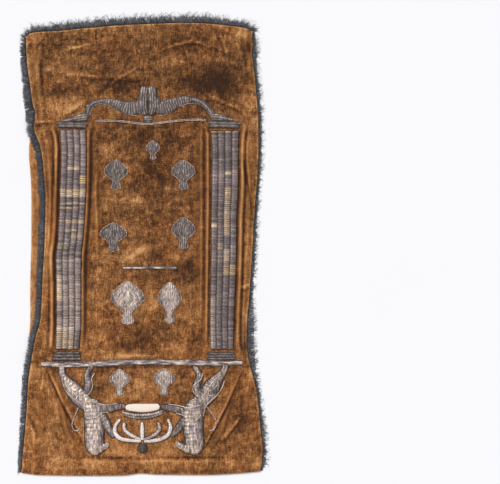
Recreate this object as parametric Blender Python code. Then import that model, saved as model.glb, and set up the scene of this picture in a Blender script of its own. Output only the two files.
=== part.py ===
"""An embroidered velvet mantle, laid flat with its front up and its fringed hem towards +Y.

A back panel lies level on the surface. The front panel lies on it with its folds, and carries raised work in
laid metal thread: two reeded columns under a pediment, a bar, and a pair of lions with a crown. A silk fringe
runs along the hem and down both sides. Tables are in millimetres, +X to the right and +Y to the hem, and
the meshes are in metres.
"""

import math
import random
from collections import namedtuple

import bmesh
import bpy
import numpy as np

MM = 0.001

# The middle of the whole part in the tables' plan, which becomes the origin.
MIDDLE_X = -0.64
MIDDLE_Y = 2.304

# Cloth and gaps
BACK_THICK = 2.0
FRONT_THICK = 1.8
FOLD_SHARE = 0.45
FOLD_MOST = 1.8
CLOTH_GAP = 0.3
SEAT = 0.42
STRIP_GAP = 0.8
ROLL_WIDTH = 7.0
ROLL_DROP = 0.7

# Fringe
LOCK_PITCH = 10.0
LOCK_ROOT = 6.2
STRIP_WIDTH = 3.0
STRIP_THICK = 1.7
LOCK_SWAY = 1.6
LOCK_UNEVEN = 0.16
LIFT = BACK_THICK + CLOTH_GAP
LOCK_BELLY = 0.5
BELLY_SHARE = 0.92
BELLY_RISE = 0.8
BELLY_SWAY = 0.4
TIP_RISE = 0.25
STRIP_INSET = 1.0
CORNER_INSET = 3.0
SIDE_STEPS = 900
HEM_STEPS = 500

# Raised work
WALL = 0.8
REEDS = 4
REED_RISE = 2.6
REED_STEPS = 3
REED_VALLEY = 0.25
JOIN_STEP = 0.06
CORD_HALF = 1.3
CORD_RISE = 1.5

Side = namedtuple("Side", "y edge beyond lift lock")
End = namedtuple("End", "x y")
Fold = namedtuple("Fold", "y x rise")
Crease = namedtuple("Crease", "x0 y0 x1 y1 x2 y2 rise half")
Section = namedtuple("Section", "x y half rise")
Shaft = namedtuple("Shaft", "y left right")
Motif = namedtuple("Motif", "name x y tall wide")
Station = namedtuple("Station", "along width")
Rib = namedtuple("Rib", "across crown")
Finish = namedtuple("Finish", "color roughness metallic")

# The left side, from hem to top end: the front panel's edge, how far the back panel shows beyond it, how high
# the fringe lies and how long its locks are.
LEFT_SIDE = (
    Side(395, -224, 0, 0, 9),
    Side(351, -222, 0, 0, 9),
    Side(313, -217.5, 0, 0, 11),
    Side(266, -211, 0, 0, 15),
    Side(250, -206.5, 0, 0, 17),
    Side(236, -207.5, 0, LIFT, 16),
    Side(226, -209, 0, LIFT, 13),
    Side(217, -208, 1, LIFT, 12),
    Side(205, -204, 10, LIFT, 12),
    Side(190, -198, 20.5, LIFT, 10),
    Side(161, -192.5, 26, LIFT, 9),
    Side(131, -190, 26, LIFT, 9),
    Side(85, -187, 27.5, LIFT, 10),
    Side(9, -189, 25.5, LIFT, 9),
    Side(-66, -193, 23.5, LIFT, 9),
    Side(-142, -197, 19.5, LIFT, 9),
    Side(-171, -205, 13, LIFT, 9),
    Side(-190, -209, 8, LIFT, 9),
    Side(-206, -212, 2, LIFT, 9),
    Side(-214, -213.5, 0, LIFT, 9),
    Side(-224, -215, 0, LIFT, 9),
    Side(-240, -217.5, 0, 0, 9),
    Side(-256, -219.5, 0, 0, 9),
    Side(-332, -224.5, 0, 0, 8),
    Side(-408, -231, 0, 0, 6),
    Side(-433, -233, 0, 0, 5),
)
RIGHT_SIDE = (
    Side(404, 206, 0, 0, 9),
    Side(390, 207, 0, 0, 9),
    Side(372, 204.6, 0, 0, 13),
    Side(355, 207, 0, 0, 10),
    Side(323, 210, 0, 0, 9),
    Side(294, 212.5, 0, 0, 9),
    Side(247, 217, 0, 0, 9),
    Side(180, 217.5, 0, 0, 9),
    Side(133, 215.5, 0, 0, 9),
    Side(66, 210, 0, 0, 8),
    Side(9, 207, 0, 0, 8),
    Side(-47, 203.5, 0, 0, 8),
    Side(-104, 199.5, 0, 0, 11),
    Side(-142, 196, 0, 0, 17),
    Side(-180, 195, 0, 0, 19),
    Side(-218, 198.5, 0, 0, 17),
    Side(-247, 206, 0, 0, 10),
    Side(-275, 213, 0, 0, 8),
    Side(-313, 218, 0, 0, 8),
    Side(-351, 221.5, 0, 0, 9),
    Side(-389, 225, 0, 0, 11),
    Side(-418, 224, 0, 0, 10),
    Side(-431, 221, 0, 0, 7),
)
HEM_END = (
    End(-224, 396),
    End(-214, 403),
    End(-188, 405.5),
    End(-160, 407),
    End(-122, 411),
    End(-91, 413.5),
    End(-46, 417.5),
    End(11, 420),
    End(68, 422),
    End(106, 421.5),
    End(144, 418.5),
    End(182, 414),
    End(197, 411),
    End(206, 406),
)
TOP_END = (
    End(-233, -433),
    End(-200, -437),
    End(-100, -438.5),
    End(-40, -438),
    End(-7, -434),
    End(25, -436),
    End(110, -437),
    End(180, -434),
    End(221, -430),
)
HEM_LOCKS = (End(-224, 13), End(-120, 15), End(0, 16), End(120, 15), End(206, 13))

# Folds that run down the front panel, from the left edge to the right: where each lies and how far it rises.
FOLDS = {
    "left_edge_fold": (
        Fold(420, -203, 0), Fold(378, -206, 1.8), Fold(330, -205, 1.8), Fold(266, -198, 1.0),
        Fold(230, -193, 0.6), Fold(190, -184, 1.2), Fold(150, -180, 2.8), Fold(85, -177, 3.2),
        Fold(9, -180, 2.4), Fold(-66, -183, 1.4), Fold(-142, -186, 0), Fold(-233, -195, 0),
        Fold(-256, -196, 0.8), Fold(-332, -190, 1.2), Fold(-380, -175, 0), Fold(-439, -172, 0),
    ),
    "left_column_fold": (
        Fold(420, -175, 0), Fold(280, -176, 0), Fold(232, -175, 0.5), Fold(205, -167, 3.4),
        Fold(180, -165, 4.0), Fold(104, -167, 4.0), Fold(47, -168.5, 4.0), Fold(9, -171, 3.6),
        Fold(-25, -174.5, 3.4), Fold(-85, -173.5, 3.6), Fold(-142, -173.5, 3.4), Fold(-185, -175, 2.4),
        Fold(-205, -178, 0), Fold(-235, -178, 0), Fold(-250, -174, 1.8), Fold(-275, -162, 3.0),
        Fold(-302, -155, 3.4), Fold(-340, -148.5, 3.4), Fold(-362, -141, 2.8), Fold(-382, -127, 1.8),
        Fold(-402, -114, 0), Fold(-439, -106, 0),
    ),
    "column_inner_fold": (
        Fold(420, -108, 0), Fold(230, -100, 0), Fold(205, -101.5, 2.4), Fold(150, -102, 3.4),
        Fold(104, -103, 3.4), Fold(47, -106, 3.0), Fold(9, -109, 3.0), Fold(-25, -112, 3.0),
        Fold(-142, -112.5, 2.6), Fold(-190, -115, 1.2), Fold(-215, -116, 0), Fold(-300, -110, 0),
        Fold(-340, -100, 0), Fold(-380, -82, 0), Fold(-439, -76, 0),
    ),
    "left_field_fold": (
        Fold(420, -85, 0), Fold(230, -91, 0), Fold(170, -92, 0), Fold(104, -92, 2.2), Fold(47, -90, 2.2),
        Fold(9, -89, 1.6), Fold(-50, -89, 0), Fold(-230, -90, 0), Fold(-300, -85, 0), Fold(-340, -75, 0),
        Fold(-380, -58, 0), Fold(-439, -50, 0),
    ),
    "right_field_fold": (
        Fold(420, 100, 0), Fold(240, 106, 0), Fold(200, 107, 2.0), Fold(104, 107.5, 2.4),
        Fold(-50, 107, 2.2), Fold(-120, 106.5, 1.6), Fold(-170, 106, 0), Fold(-230, 103, 0),
        Fold(-300, 95, 0), Fold(-340, 85, 0), Fold(-380, 68, 0), Fold(-439, 60, 0),
    ),
    "column_outer_fold": (
        Fold(420, 122, 0), Fold(235, 114.5, 0), Fold(205, 121, 2.8), Fold(104, 121.5, 3.4),
        Fold(9, 120.5, 3.4), Fold(-66, 119.5, 3.2), Fold(-140, 118.5, 3.0), Fold(-190, 118, 1.4),
        Fold(-212, 117, 0), Fold(-300, 113, 0), Fold(-340, 106, 0), Fold(-380, 90, 0), Fold(-439, 84, 0),
    ),
    "right_column_fold": (
        Fold(420, 184, 0), Fold(275, 192, 0), Fold(238, 192, 0.8), Fold(205, 187.5, 2.8),
        Fold(180, 186.5, 3.8), Fold(104, 186, 3.8), Fold(47, 183, 3.6), Fold(9, 182.5, 3.4),
        Fold(-66, 181, 3.4), Fold(-140, 178, 3.2), Fold(-185, 177, 2.0), Fold(-208, 179, 0),
        Fold(-235, 182, 0), Fold(-250, 180, 1.8), Fold(-296, 162, 3.2), Fold(-342, 150, 3.2),
        Fold(-363, 141, 2.6), Fold(-388, 126, 1.4), Fold(-408, 117, 0), Fold(-439, 112, 0),
    ),
    "right_edge_fold": (
        Fold(420, 195, 0), Fold(380, 193, 2.6), Fold(350, 200, 2.0), Fold(300, 204, 0), Fold(225, 203, 0),
        Fold(190, 196, 2.4), Fold(171, 195.5, 2.8), Fold(123, 200, 3.2), Fold(85, 200, 2.4),
        Fold(9, 196, 1.4), Fold(-66, 192, 1.8), Fold(-142, 188, 1.8), Fold(-190, 188, 0),
        Fold(-256, 196, 0), Fold(-320, 192, 1.6), Fold(-370, 184, 0), Fold(-439, 180, 0),
    ),
}
FOLD_HALF = 5.4

# Creases across the cloth, each over three points.
CREASES = (
    Crease(-150, 370, -124, 375, -99, 382, 2.2, 9),
    Crease(36, 373, 97, 387, 148, 371, 3.0, 10),
    Crease(135, 405, 145, 382, 152, 361, 2.4, 10),
    Crease(-84, 294, -50, 315, -8, 340, 1.4, 18),
    Crease(-205, 228, -190, 231, -176, 231, 2.2, 8),
    Crease(-156, 243, -125, 262, -97, 281, 2.2, 8),
    Crease(114, 286, 166, 262, 190, 250, 2.6, 8),
    Crease(-160, -413, 20, -411, 182, -413, 1.4, 7),
    Crease(-222, -331, -210, -355, -208, -380, 1.6, 8),
    Crease(182, -82, 190, -79, 199, -74, 1.6, 8),
    Crease(150, -368, 166, -350, 182, -326, 1.8, 10),
)
CREASE_FADE = 1.15
HEM_DEPTH = 23.0
HEM_RISE = 0.9
HEM_STEP = 4.0

# Gentle swell of the whole front, and the low wave across the left column.
SWELL = 1.1
SWELL_WAVE = 0.45
SWELL_LONG = 75.0
SWELL_ACROSS = 62.0
KINK_X = -141.0
KINK_Y = -20.0
KINK_RISE = 0.8
KINK_REACH = 75.0

# Grid rows of the front panel, from the top end to the hem.
GRID_ROWS = (
    -436, -431, -422, -412, -404, -396, -382, -362, -340, -318, -297, -275, -256, -244, -230, -216, -205,
    -188, -165, -130, -90, -50, -20, 10, 50, 90, 125, 155, 185, 205, 218, 228, 236, 247, 255, 267, 285, 307,
    330, 350, 362, 372, 380, 388, 396, 403, 411, 417, 420,
)
HEM_LEAN = 300
TOP_LEAN = -380
SPAN_SHARES = (
    ("left_side", "left_edge_fold", (0.25, 0.6)),
    ("left_edge_fold", "left_column_fold", (0.5,)),
    ("left_column_fold", "column_inner_fold", (0.09, 0.35, 0.65, 0.91)),
    ("column_inner_fold", "left_field_fold", (0.5,)),
    ("left_field_fold", "right_field_fold", (0.03, 0.25, 0.5, 0.75, 0.97)),
    ("right_field_fold", "column_outer_fold", (0.5,)),
    ("column_outer_fold", "right_column_fold", (0.09, 0.35, 0.65, 0.91)),
    ("right_column_fold", "right_edge_fold", (0.5,)),
    ("right_edge_fold", "right_side", (0.4, 0.8)),
)

LEFT_SHAFT = (
    Shaft(218, -159.5, -110), Shaft(180, -157.5, -109), Shaft(104, -159.5, -110), Shaft(47, -161.5, -113),
    Shaft(9, -163.5, -116), Shaft(-25, -167, -119), Shaft(-85, -166, -119.5), Shaft(-142, -166, -119.5),
    Shaft(-197, -167.5, -123),
)
RIGHT_SHAFT = (
    Shaft(216, 127, 180.5), Shaft(180, 129, 179.5), Shaft(104, 128.5, 179), Shaft(47, 127.5, 176),
    Shaft(9, 127.5, 176), Shaft(-66, 126.5, 174), Shaft(-140, 125.5, 171), Shaft(-197, 126, 170),
)

# Raised work as limbs: each limb is a row of sections along its middle line. Across a limb the ribs run from
# its left foot round the top to its right one, with the crown as a share of the section's rise.
LIMB_TOP = (Rib(1, 0.0), Rib(0.55, 0.75), Rib(0, 1.0), Rib(-0.55, 0.75), Rib(-1, 0.0))
COLUMN_ENDS = {
    "column_capital_left": ((
        Section(-166.5, 229, 3.6, 1.6), Section(-163, 228.5, 5.4, 2.4), Section(-137, 228, 5.6, 2.8),
        Section(-111, 227.5, 5.4, 2.4), Section(-107.5, 227, 3.6, 1.6),
    ),),
    "column_capital_right": ((
        Section(122.5, 229.5, 3.8, 1.6), Section(126, 229, 6.0, 2.4), Section(153, 228.5, 6.0, 2.8),
        Section(179.5, 228, 5.8, 2.4), Section(183, 228, 3.8, 1.6),
    ),),
    "column_base_left": ((
        Section(-176, -214.5, 3.0, 1.4), Section(-168, -211, 8.0, 2.6), Section(-146, -211, 9.0, 2.8),
        Section(-127, -211, 8.0, 2.6), Section(-120.5, -214.5, 3.0, 1.4),
    ),),
    "column_base_right": ((
        Section(121.5, -212, 3.0, 1.4), Section(128, -210.5, 6.0, 2.6), Section(148, -210.5, 6.6, 2.8),
        Section(167, -210.5, 6.0, 2.6), Section(174, -212, 3.0, 1.4),
    ),),
}
PEDIMENT = {
    "pediment_shell": (
        (Section(2, 247, 4, 2.5), Section(-2, 262, 7, 3.6), Section(-5, 280, 6, 3.6),
         Section(-7, 290, 2, 1.6)),
        (Section(9, 247, 4, 2.5), Section(9, 264, 8, 4.2), Section(9, 290, 7, 4.2), Section(9, 301, 2, 1.8)),
        (Section(16, 247, 4, 2.5), Section(21, 262, 7, 3.6), Section(24, 280, 6, 3.6),
         Section(26, 290, 2, 1.6)),
    ),
    "pediment_wing_left": ((
        Section(-10.4, 257, 9, 3.2), Section(-18, 257.5, 11, 3.2), Section(-34, 262, 8.5, 3.0),
        Section(-54, 269, 5.4, 2.6), Section(-74, 273, 3.4, 2.2), Section(-88, 273, 2.4, 1.6),
    ),),
    "pediment_wing_right": ((
        Section(31.2, 258.5, 8.6, 3.2), Section(39, 260.5, 11, 3.2), Section(52, 267, 9, 3.2),
        Section(70, 273.5, 7.2, 3.2), Section(84, 276.5, 6.2, 3.0), Section(90, 276.5, 4.0, 2.0),
    ),),
    "pediment_knob": ((
        Section(0.5, 237.5, 3.2, 1.6), Section(4, 238, 5.2, 3.0), Section(11, 238, 5.2, 3.0),
        Section(15, 237.5, 3.2, 1.6),
    ),),
    "pediment_scroll_left": (
        (Section(-85, 267, 2.2, 1.4), Section(-93, 265.5, 3.2, 2.4), Section(-101, 260, 4.2, 3.0),
         Section(-106, 251, 4.6, 2.6), Section(-108, 241.5, 3.6, 1.6)),
        (Section(-150, 236.5, 1.2, 1.0), Section(-134, 239.5, 3.4, 1.6), Section(-120, 243, 5.6, 2.2),
         Section(-108, 243.5, 5.2, 2.2)),
    ),
    "pediment_scroll_right": (
        (Section(94, 270, 2.6, 1.6), Section(104, 269.5, 4.0, 2.6), Section(115, 264, 4.4, 3.0),
         Section(124, 255, 4.4, 2.6), Section(129, 244, 4.0, 1.8)),
        (Section(128, 243.5, 5.0, 2.0), Section(140, 243.5, 5.6, 2.2), Section(154, 241.5, 3.8, 1.6),
         Section(166, 239.5, 1.4, 1.0)),
    ),
}
CORDS = {
    "entablature_cord": (
        Section(-92, 235, 0, 0), Section(-66, 236, 0, 0), Section(-36, 234, 0, 0), Section(-10, 230.6, 0, 0),
        Section(8, 229.8, 0, 0), Section(28, 231.4, 0, 0), Section(60, 235.5, 0, 0), Section(96, 238, 0, 0),
        Section(118, 236.5, 0, 0),
    ),
    "lion_tail_left": (
        Section(-124.5, -309, 0, 0), Section(-130, -322, 0, 0), Section(-135, -334, 0, 0),
        Section(-136.2, -343, 0, 0), Section(-132.5, -351, 0, 0), Section(-127, -353, 0, 0),
        Section(-122.5, -350.5, 0, 0),
    ),
    "lion_tail_right": (
        Section(118.5, -306, 0, 0), Section(127, -317, 0, 0), Section(134.5, -328, 0, 0),
        Section(137, -339, 0, 0), Section(134.5, -348, 0, 0), Section(129.5, -352, 0, 0),
        Section(124, -351, 0, 0),
    ),
}
BARS = {
    "lower_bar": ((
        Section(-195, -225.5, 4.6, 1.6), Section(-150, -227.5, 5.0, 2.0), Section(-100, -226, 5.2, 2.0),
        Section(-50, -223.5, 5.2, 2.0), Section(0, -222, 5.2, 2.0), Section(50, -222.5, 5.2, 2.0),
        Section(100, -224, 5.2, 2.0), Section(150, -225, 5.0, 2.0), Section(187, -223, 4.4, 1.6),
    ),),
    "middle_dash": ((
        Section(-40, -43.5, 1.6, 1.0), Section(-10, -43.5, 2.0, 1.2), Section(25, -43, 2.0, 1.2),
        Section(62, -43.5, 1.6, 1.0),
    ),),
}
# The lions face the middle, each with its feet on the bar and its head towards the top end: body, hind leg,
# second leg, arm, foreleg and muzzle.
LIONS = {
    "lion_left": (
        (Section(-104, -294, 8, 3.0), Section(-99, -308, 15.5, 4.4), Section(-96.5, -336, 15.5, 4.8),
         Section(-94.5, -357, 16, 4.8), Section(-93.5, -376, 16.5, 4.4), Section(-94, -389, 13.5, 3.6),
         Section(-97, -398.5, 6, 2.2)),
        (Section(-156.5, -234, 5, 1.8), Section(-154.5, -247, 5.6, 2.4), Section(-146, -258, 9, 3.4),
         Section(-136, -272, 14.5, 4.2), Section(-126, -287, 13, 4.0), Section(-108, -302, 8, 2.8)),
        (Section(-99, -236.5, 3.2, 1.8), Section(-107, -241.5, 5, 2.4), Section(-107, -251, 6.2, 2.8),
         Section(-105, -262, 6.8, 2.8), Section(-108.5, -275, 6, 2.8), Section(-116, -288, 4, 2.0)),
        (Section(-88, -308, 8, 3.0), Section(-73, -311, 7, 2.8), Section(-60, -309, 4.8, 2.4),
         Section(-43, -306.5, 3.8, 1.8)),
        (Section(-87, -323, 9, 3.0), Section(-74, -336, 8, 2.8), Section(-65, -353, 5, 2.2),
         Section(-57, -366, 2.8, 1.6)),
        (Section(-96, -388, 9, 3.2), Section(-84, -386, 8, 3.4), Section(-72, -379.5, 3.4, 2.2)),
    ),
    "lion_right": (
        (Section(100, -294, 8, 3.0), Section(94, -312, 16, 4.4), Section(92.5, -336, 17.5, 4.8),
         Section(95, -357, 16.5, 4.8), Section(97, -376, 16, 4.4), Section(96.5, -388, 13.5, 3.6),
         Section(99, -397.5, 6, 2.2)),
        (Section(155, -233.5, 4.6, 1.8), Section(151, -242, 5.4, 2.4), Section(141, -252, 7, 3.2),
         Section(131, -265, 14, 4.2), Section(122, -282, 15.5, 4.2), Section(104, -301, 8, 2.8)),
        (Section(96, -236, 3.2, 1.8), Section(103.5, -241.5, 5, 2.4), Section(106, -251, 6.2, 2.8),
         Section(101, -262, 6.8, 2.8), Section(100, -273, 6, 2.8), Section(107, -288, 4, 2.0)),
        (Section(82, -321, 6, 3.0), Section(70, -314.5, 6.4, 2.8), Section(57, -311, 4.8, 2.4),
         Section(42, -308.5, 3.8, 1.8)),
        (Section(79, -331, 8, 3.0), Section(69, -343, 6, 2.6), Section(60, -354, 4.4, 2.2),
         Section(52.5, -363.5, 2.8, 1.6)),
        (Section(92, -388, 9, 3.2), Section(79, -385, 7.5, 3.4), Section(67, -377.5, 3.4, 2.2)),
    ),
}
CROWN = {
    "crown_patch": ((
        Section(-35, -309, 1.6, 0.8), Section(-28, -308.5, 5.0, 1.2), Section(-14, -309, 7.4, 1.6),
        Section(-3, -309.5, 8.0, 1.6), Section(10, -309, 7.4, 1.6), Section(23, -307, 5.4, 1.2),
        Section(29, -306, 4.0, 0.8),
    ),),
    "crown_band": ((
        Section(-41, -320, 2.0, 1.2), Section(-24, -324.5, 3.6, 2.0), Section(-3, -326, 4.0, 2.2),
        Section(17, -323.5, 3.8, 2.0), Section(36, -317, 2.0, 1.2),
    ),),
    "crown_arches": (
        (Section(-46, -332, 2.0, 1.8), Section(-54.5, -344, 2.6, 2.4), Section(-54, -358, 2.8, 2.4),
         Section(-44, -368, 2.8, 2.4), Section(-24, -370.5, 2.6, 2.2), Section(-6, -371.5, 2.4, 2.0)),
        (Section(-36, -340, 2.8, 2.2), Section(-35.5, -352, 2.8, 2.2), Section(-24, -361.5, 2.6, 2.0),
         Section(-5, -370, 2.2, 1.8)),
        (Section(-3.5, -339, 2.6, 2.2), Section(-3, -354, 3.4, 2.8), Section(-3, -371, 2.4, 2.0)),
        (Section(26.5, -339, 2.8, 2.2), Section(28.5, -352, 2.8, 2.2), Section(17, -362, 2.6, 2.0),
         Section(-1, -370, 2.2, 1.8)),
        (Section(45, -331, 2.0, 1.8), Section(50.5, -345, 2.6, 2.4), Section(46, -360, 2.8, 2.4),
         Section(33, -368.5, 2.8, 2.4), Section(14, -371.5, 2.6, 2.2), Section(0, -371.5, 2.4, 2.0)),
    ),
    "crown_bead": ((
        Section(-3, -377.5, 4.5, 1.6), Section(-3, -381, 8.2, 4.0), Section(-2.5, -388, 8.8, 4.6),
        Section(-2, -395, 5.0, 2.0),
    ),),
}
# Plain bud motifs, all of one family: centre, height and width.
MOTIFS = (
    Motif("motif_top", 17, 180, 36, 24),
    Motif("motif_upper_left", -53, 133, 56, 42),
    Motif("motif_upper_right", 75, 133, 56, 42),
    Motif("motif_middle_left", -58, 15, 54, 48),
    Motif("motif_middle_right", 75, 22, 60, 42),
    Motif("motif_large_left", -31, -110, 82, 60),
    Motif("motif_large_right", 49, -110, 78, 42),
    Motif("motif_low_left", -46, -261, 50, 36),
    Motif("motif_low_right", 38, -260, 50, 38),
)
MOTIF_STATIONS = (
    Station(-0.5, 0.06), Station(-0.42, 0.2), Station(-0.2, 0.14), Station(0.05, 0.5), Station(0.26, 0.44),
    Station(0.42, 0.2), Station(0.5, 0.05),
)
MOTIF_RISE = 2.6
MOTIF_LEAST = 0.35

FINISHES = {
    "brown_velvet": Finish((0.19, 0.095, 0.04), 0.9, 0.0),
    "shaded_velvet": Finish((0.15, 0.08, 0.035), 0.9, 0.0),
    "dark_silk": Finish((0.035, 0.045, 0.055), 0.7, 0.0),
    "metal_thread": Finish((0.33, 0.31, 0.29), 0.45, 0.6),
    "gilt_thread": Finish((0.45, 0.36, 0.22), 0.45, 0.6),
    "cream_cloth": Finish((0.76, 0.68, 0.56), 0.85, 0.0),
    "dark_thread": Finish((0.05, 0.05, 0.06), 0.7, 0.0),
}


def clear_scene():
    for obj in list(bpy.data.objects):
        bpy.data.objects.remove(obj)


def material(name):
    found = bpy.data.materials.get(name)
    if found:
        return found
    finish = FINISHES[name]
    made = bpy.data.materials.new(name)
    made.use_nodes = True
    shader = made.node_tree.nodes["Principled BSDF"]
    shader.inputs["Base Color"].default_value = (*finish.color, 1)
    shader.inputs["Roughness"].default_value = finish.roughness
    shader.inputs["Metallic"].default_value = finish.metallic
    return made


def collection(name, hidden=False):
    made = bpy.data.collections.get(name) or bpy.data.collections.new(name)
    if name not in bpy.context.scene.collection.children:
        bpy.context.scene.collection.children.link(made)
    made.hide_render = hidden
    return made


def add_object(name, mesh, finish, helper=False):
    obj = bpy.data.objects.new(name, mesh)
    if helper:
        obj.hide_render = True
        obj.display_type = "WIRE"
    mesh.materials.append(material(finish))
    collection("cutters" if helper else "mantle", hidden=helper).objects.link(obj)
    obj.parent = bpy.data.objects["mantle_origin"]
    return obj


def mesh_from(name, points, faces):
    mesh = bpy.data.meshes.new(name)
    mesh.from_pydata([tuple(point) for point in np.asarray(points, float) * MM], [], faces)
    mesh.validate()
    return mesh


def smooth(stations, values, at):
    """A monotone cubic through the values: it rounds the corners and never overshoots a row."""
    order = np.argsort(stations)
    x = np.asarray(stations, float)[order]
    v = np.asarray(values, float)[order]
    step = np.diff(x)
    slope = np.diff(v) / step
    tangent = np.zeros(len(x))
    before, after = slope[:-1], slope[1:]
    turning = before * after <= 0
    safe_before = np.where(turning, 1, before)
    safe_after = np.where(turning, 1, after)
    near = 2 * step[1:] + step[:-1]
    far = step[1:] + 2 * step[:-1]
    tangent[1:-1] = np.where(turning, 0, (near + far) / (near / safe_before + far / safe_after))
    tangent[0], tangent[-1] = slope[0], slope[-1]
    at = np.clip(at, x[0], x[-1])
    i = np.clip(np.searchsorted(x, at) - 1, 0, len(step) - 1)
    t = (at - x[i]) / step[i]
    return (
        v[i] * (1 + 2 * t) * (1 - t) ** 2
        + tangent[i] * step[i] * t * (1 - t) ** 2
        + v[i + 1] * t**2 * (3 - 2 * t)
        + tangent[i + 1] * step[i] * t**2 * (t - 1)
    )


def column_of(rows, along, value, at):
    return smooth([getattr(row, along) for row in rows], [getattr(row, value) for row in rows], at)


def bump(distance, half):
    """A round-topped ridge that meets the cloth level at its half width."""
    share = np.clip(np.abs(distance) / half, 0, 1)
    return (1 - share**2) ** 2


def step_up(distance, width):
    t = np.clip(distance / width, 0, 1)
    return t * t * (3 - 2 * t)


def swell(x, y):
    """How far the front lies above its lowest level where it has no fold."""
    wave = np.sin(x / SWELL_ACROSS) * np.cos(y / SWELL_LONG)
    kink = bump(x - KINK_X, KINK_REACH) * bump(y - KINK_Y, KINK_REACH)
    return SWELL + SWELL_WAVE * wave + KINK_RISE * kink


def crease_rise(crease, x, y):
    """A ridge along a two-piece line that fades out towards its ends."""
    rise = np.zeros_like(x)
    legs = (
        (crease.x0, crease.y0, crease.x1, crease.y1, 0, 1),
        (crease.x1, crease.y1, crease.x2, crease.y2, 1, 2),
    )
    for x0, y0, x1, y1, start, end in legs:
        length = math.hypot(x1 - x0, y1 - y0)
        along = ((x - x0) * (x1 - x0) + (y - y0) * (y1 - y0)) / length**2
        held = np.clip(along, 0, 1)
        away = np.hypot(x - x0 - held * (x1 - x0), y - y0 - held * (y1 - y0))
        place = start + held * (end - start)
        rise = np.maximum(rise, crease.rise * bump(away, crease.half) * np.sqrt(bump(place - 1, CREASE_FADE)))
    return rise


def fold_rise(x, y):
    rise = np.zeros_like(x)
    for rows in FOLDS.values():
        middle = column_of(rows, "y", "x", y)
        height = column_of(rows, "y", "rise", y)
        rise = np.maximum(rise, height * bump(x - middle, FOLD_HALF))
    for crease in CREASES:
        rise = np.maximum(rise, crease_rise(crease, x, y))
    return rise


def side_x(rows, y):
    return column_of(rows, "y", "edge", y)


def end_y(rows, x):
    return column_of(rows, "x", "y", x)


def front_grid():
    """Plan positions of the front panel: its lines follow the folds, and its outer rows lean to the ends."""
    rows = np.array(GRID_ROWS, float)
    lines = {name: column_of(table, "y", "x", rows) for name, table in FOLDS.items()}
    lines["left_side"] = side_x(LEFT_SIDE, rows)
    lines["right_side"] = side_x(RIGHT_SIDE, rows)
    columns = []
    for start, end, shares in SPAN_SHARES:
        for share in (0, *shares):
            columns.append(lines[start] + share * (lines[end] - lines[start]))
    columns.append(lines["right_side"])
    x = np.stack(columns, axis=1)
    y = np.repeat(rows[:, None], x.shape[1], axis=1)
    hem = end_y(HEM_END, x[-1])
    top = end_y(TOP_END, x[0])
    y += (hem - rows[-1]) * step_up(y - HEM_LEAN, rows[-1] - HEM_LEAN)
    y += (top - rows[0]) * step_up(TOP_LEAN - y, TOP_LEAN - rows[0])
    return x, y


def front_heights(x, y):
    """The front panel's upper and under faces over its plan."""
    inside = np.minimum(x - side_x(LEFT_SIDE, y), side_x(RIGHT_SIDE, y) - x)
    inside = np.minimum(inside, np.minimum(end_y(HEM_END, x) - y, y - end_y(TOP_END, x)))
    roll = step_up(inside, ROLL_WIDTH)
    from_hem = end_y(HEM_END, x) - y
    hem = HEM_RISE * (1 - step_up(from_hem - HEM_DEPTH + HEM_STEP, HEM_STEP))
    folds = fold_rise(x, y)
    lift = (swell(x, y) + folds + hem) * roll
    extra = np.minimum(FOLD_SHARE * folds * roll, FOLD_MOST)
    level = BACK_THICK + CLOTH_GAP
    under = level + lift - extra
    upper = level + FRONT_THICK + lift - ROLL_DROP * (1 - roll)
    return upper, under


def velvet_top(x, y):
    """The height of the front panel's face where raised work lies on it."""
    return BACK_THICK + CLOTH_GAP + FRONT_THICK + swell(np.float64(x), np.float64(y))


def make_front_panel():
    x, y = front_grid()
    upper, under = front_heights(x, y)
    count_y, count_x = x.shape
    points = np.concatenate([
        np.stack([x, y, upper], axis=2).reshape(-1, 3),
        np.stack([x, y, under], axis=2).reshape(-1, 3),
    ])
    index = np.arange(count_y * count_x).reshape(count_y, count_x)
    below = index + count_y * count_x
    quads = np.stack([index[:-1, :-1], index[:-1, 1:], index[1:, 1:], index[1:, :-1]], axis=2).reshape(-1, 4)
    faces = quads.tolist() + (quads[:, ::-1] + count_y * count_x).tolist()
    rim = np.concatenate([index[0, :], index[1:, -1], index[-1, -2::-1], index[-2:0:-1, 0]])
    rim_below = np.concatenate([below[0, :], below[1:, -1], below[-1, -2::-1], below[-2:0:-1, 0]])
    for i in range(len(rim)):
        j = (i + 1) % len(rim)
        faces.append([rim[i], rim_below[i], rim_below[j], rim[j]])
    obj = add_object("front_panel", mesh_from("front_panel", points, faces), "brown_velvet")
    obj.data.shade_smooth()


def make_back_panel():
    """The back panel: its outline as one face, given its thickness."""
    x, y = front_grid()
    left = x[1:-1, 0] - column_of(LEFT_SIDE, "y", "beyond", y[1:-1, 0])
    outline = [*zip(x[0], y[0]), *zip(x[1:-1, -1], y[1:-1, -1]), *zip(x[-1][::-1], y[-1][::-1])]
    outline += zip(left[::-1], y[-2:0:-1, 0])
    shape = bmesh.new()
    face = shape.faces.new([shape.verts.new((px * MM, py * MM, 0)) for px, py in outline])
    raised = bmesh.ops.extrude_face_region(shape, geom=[face])["geom"]
    for vert in raised:
        if isinstance(vert, bmesh.types.BMVert):
            vert.co.z = BACK_THICK * MM
    bmesh.ops.recalc_face_normals(shape, faces=shape.faces)
    mesh = bpy.data.meshes.new("back_panel")
    shape.to_mesh(mesh)
    shape.free()
    add_object("back_panel", mesh, "shaded_velvet")


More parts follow.
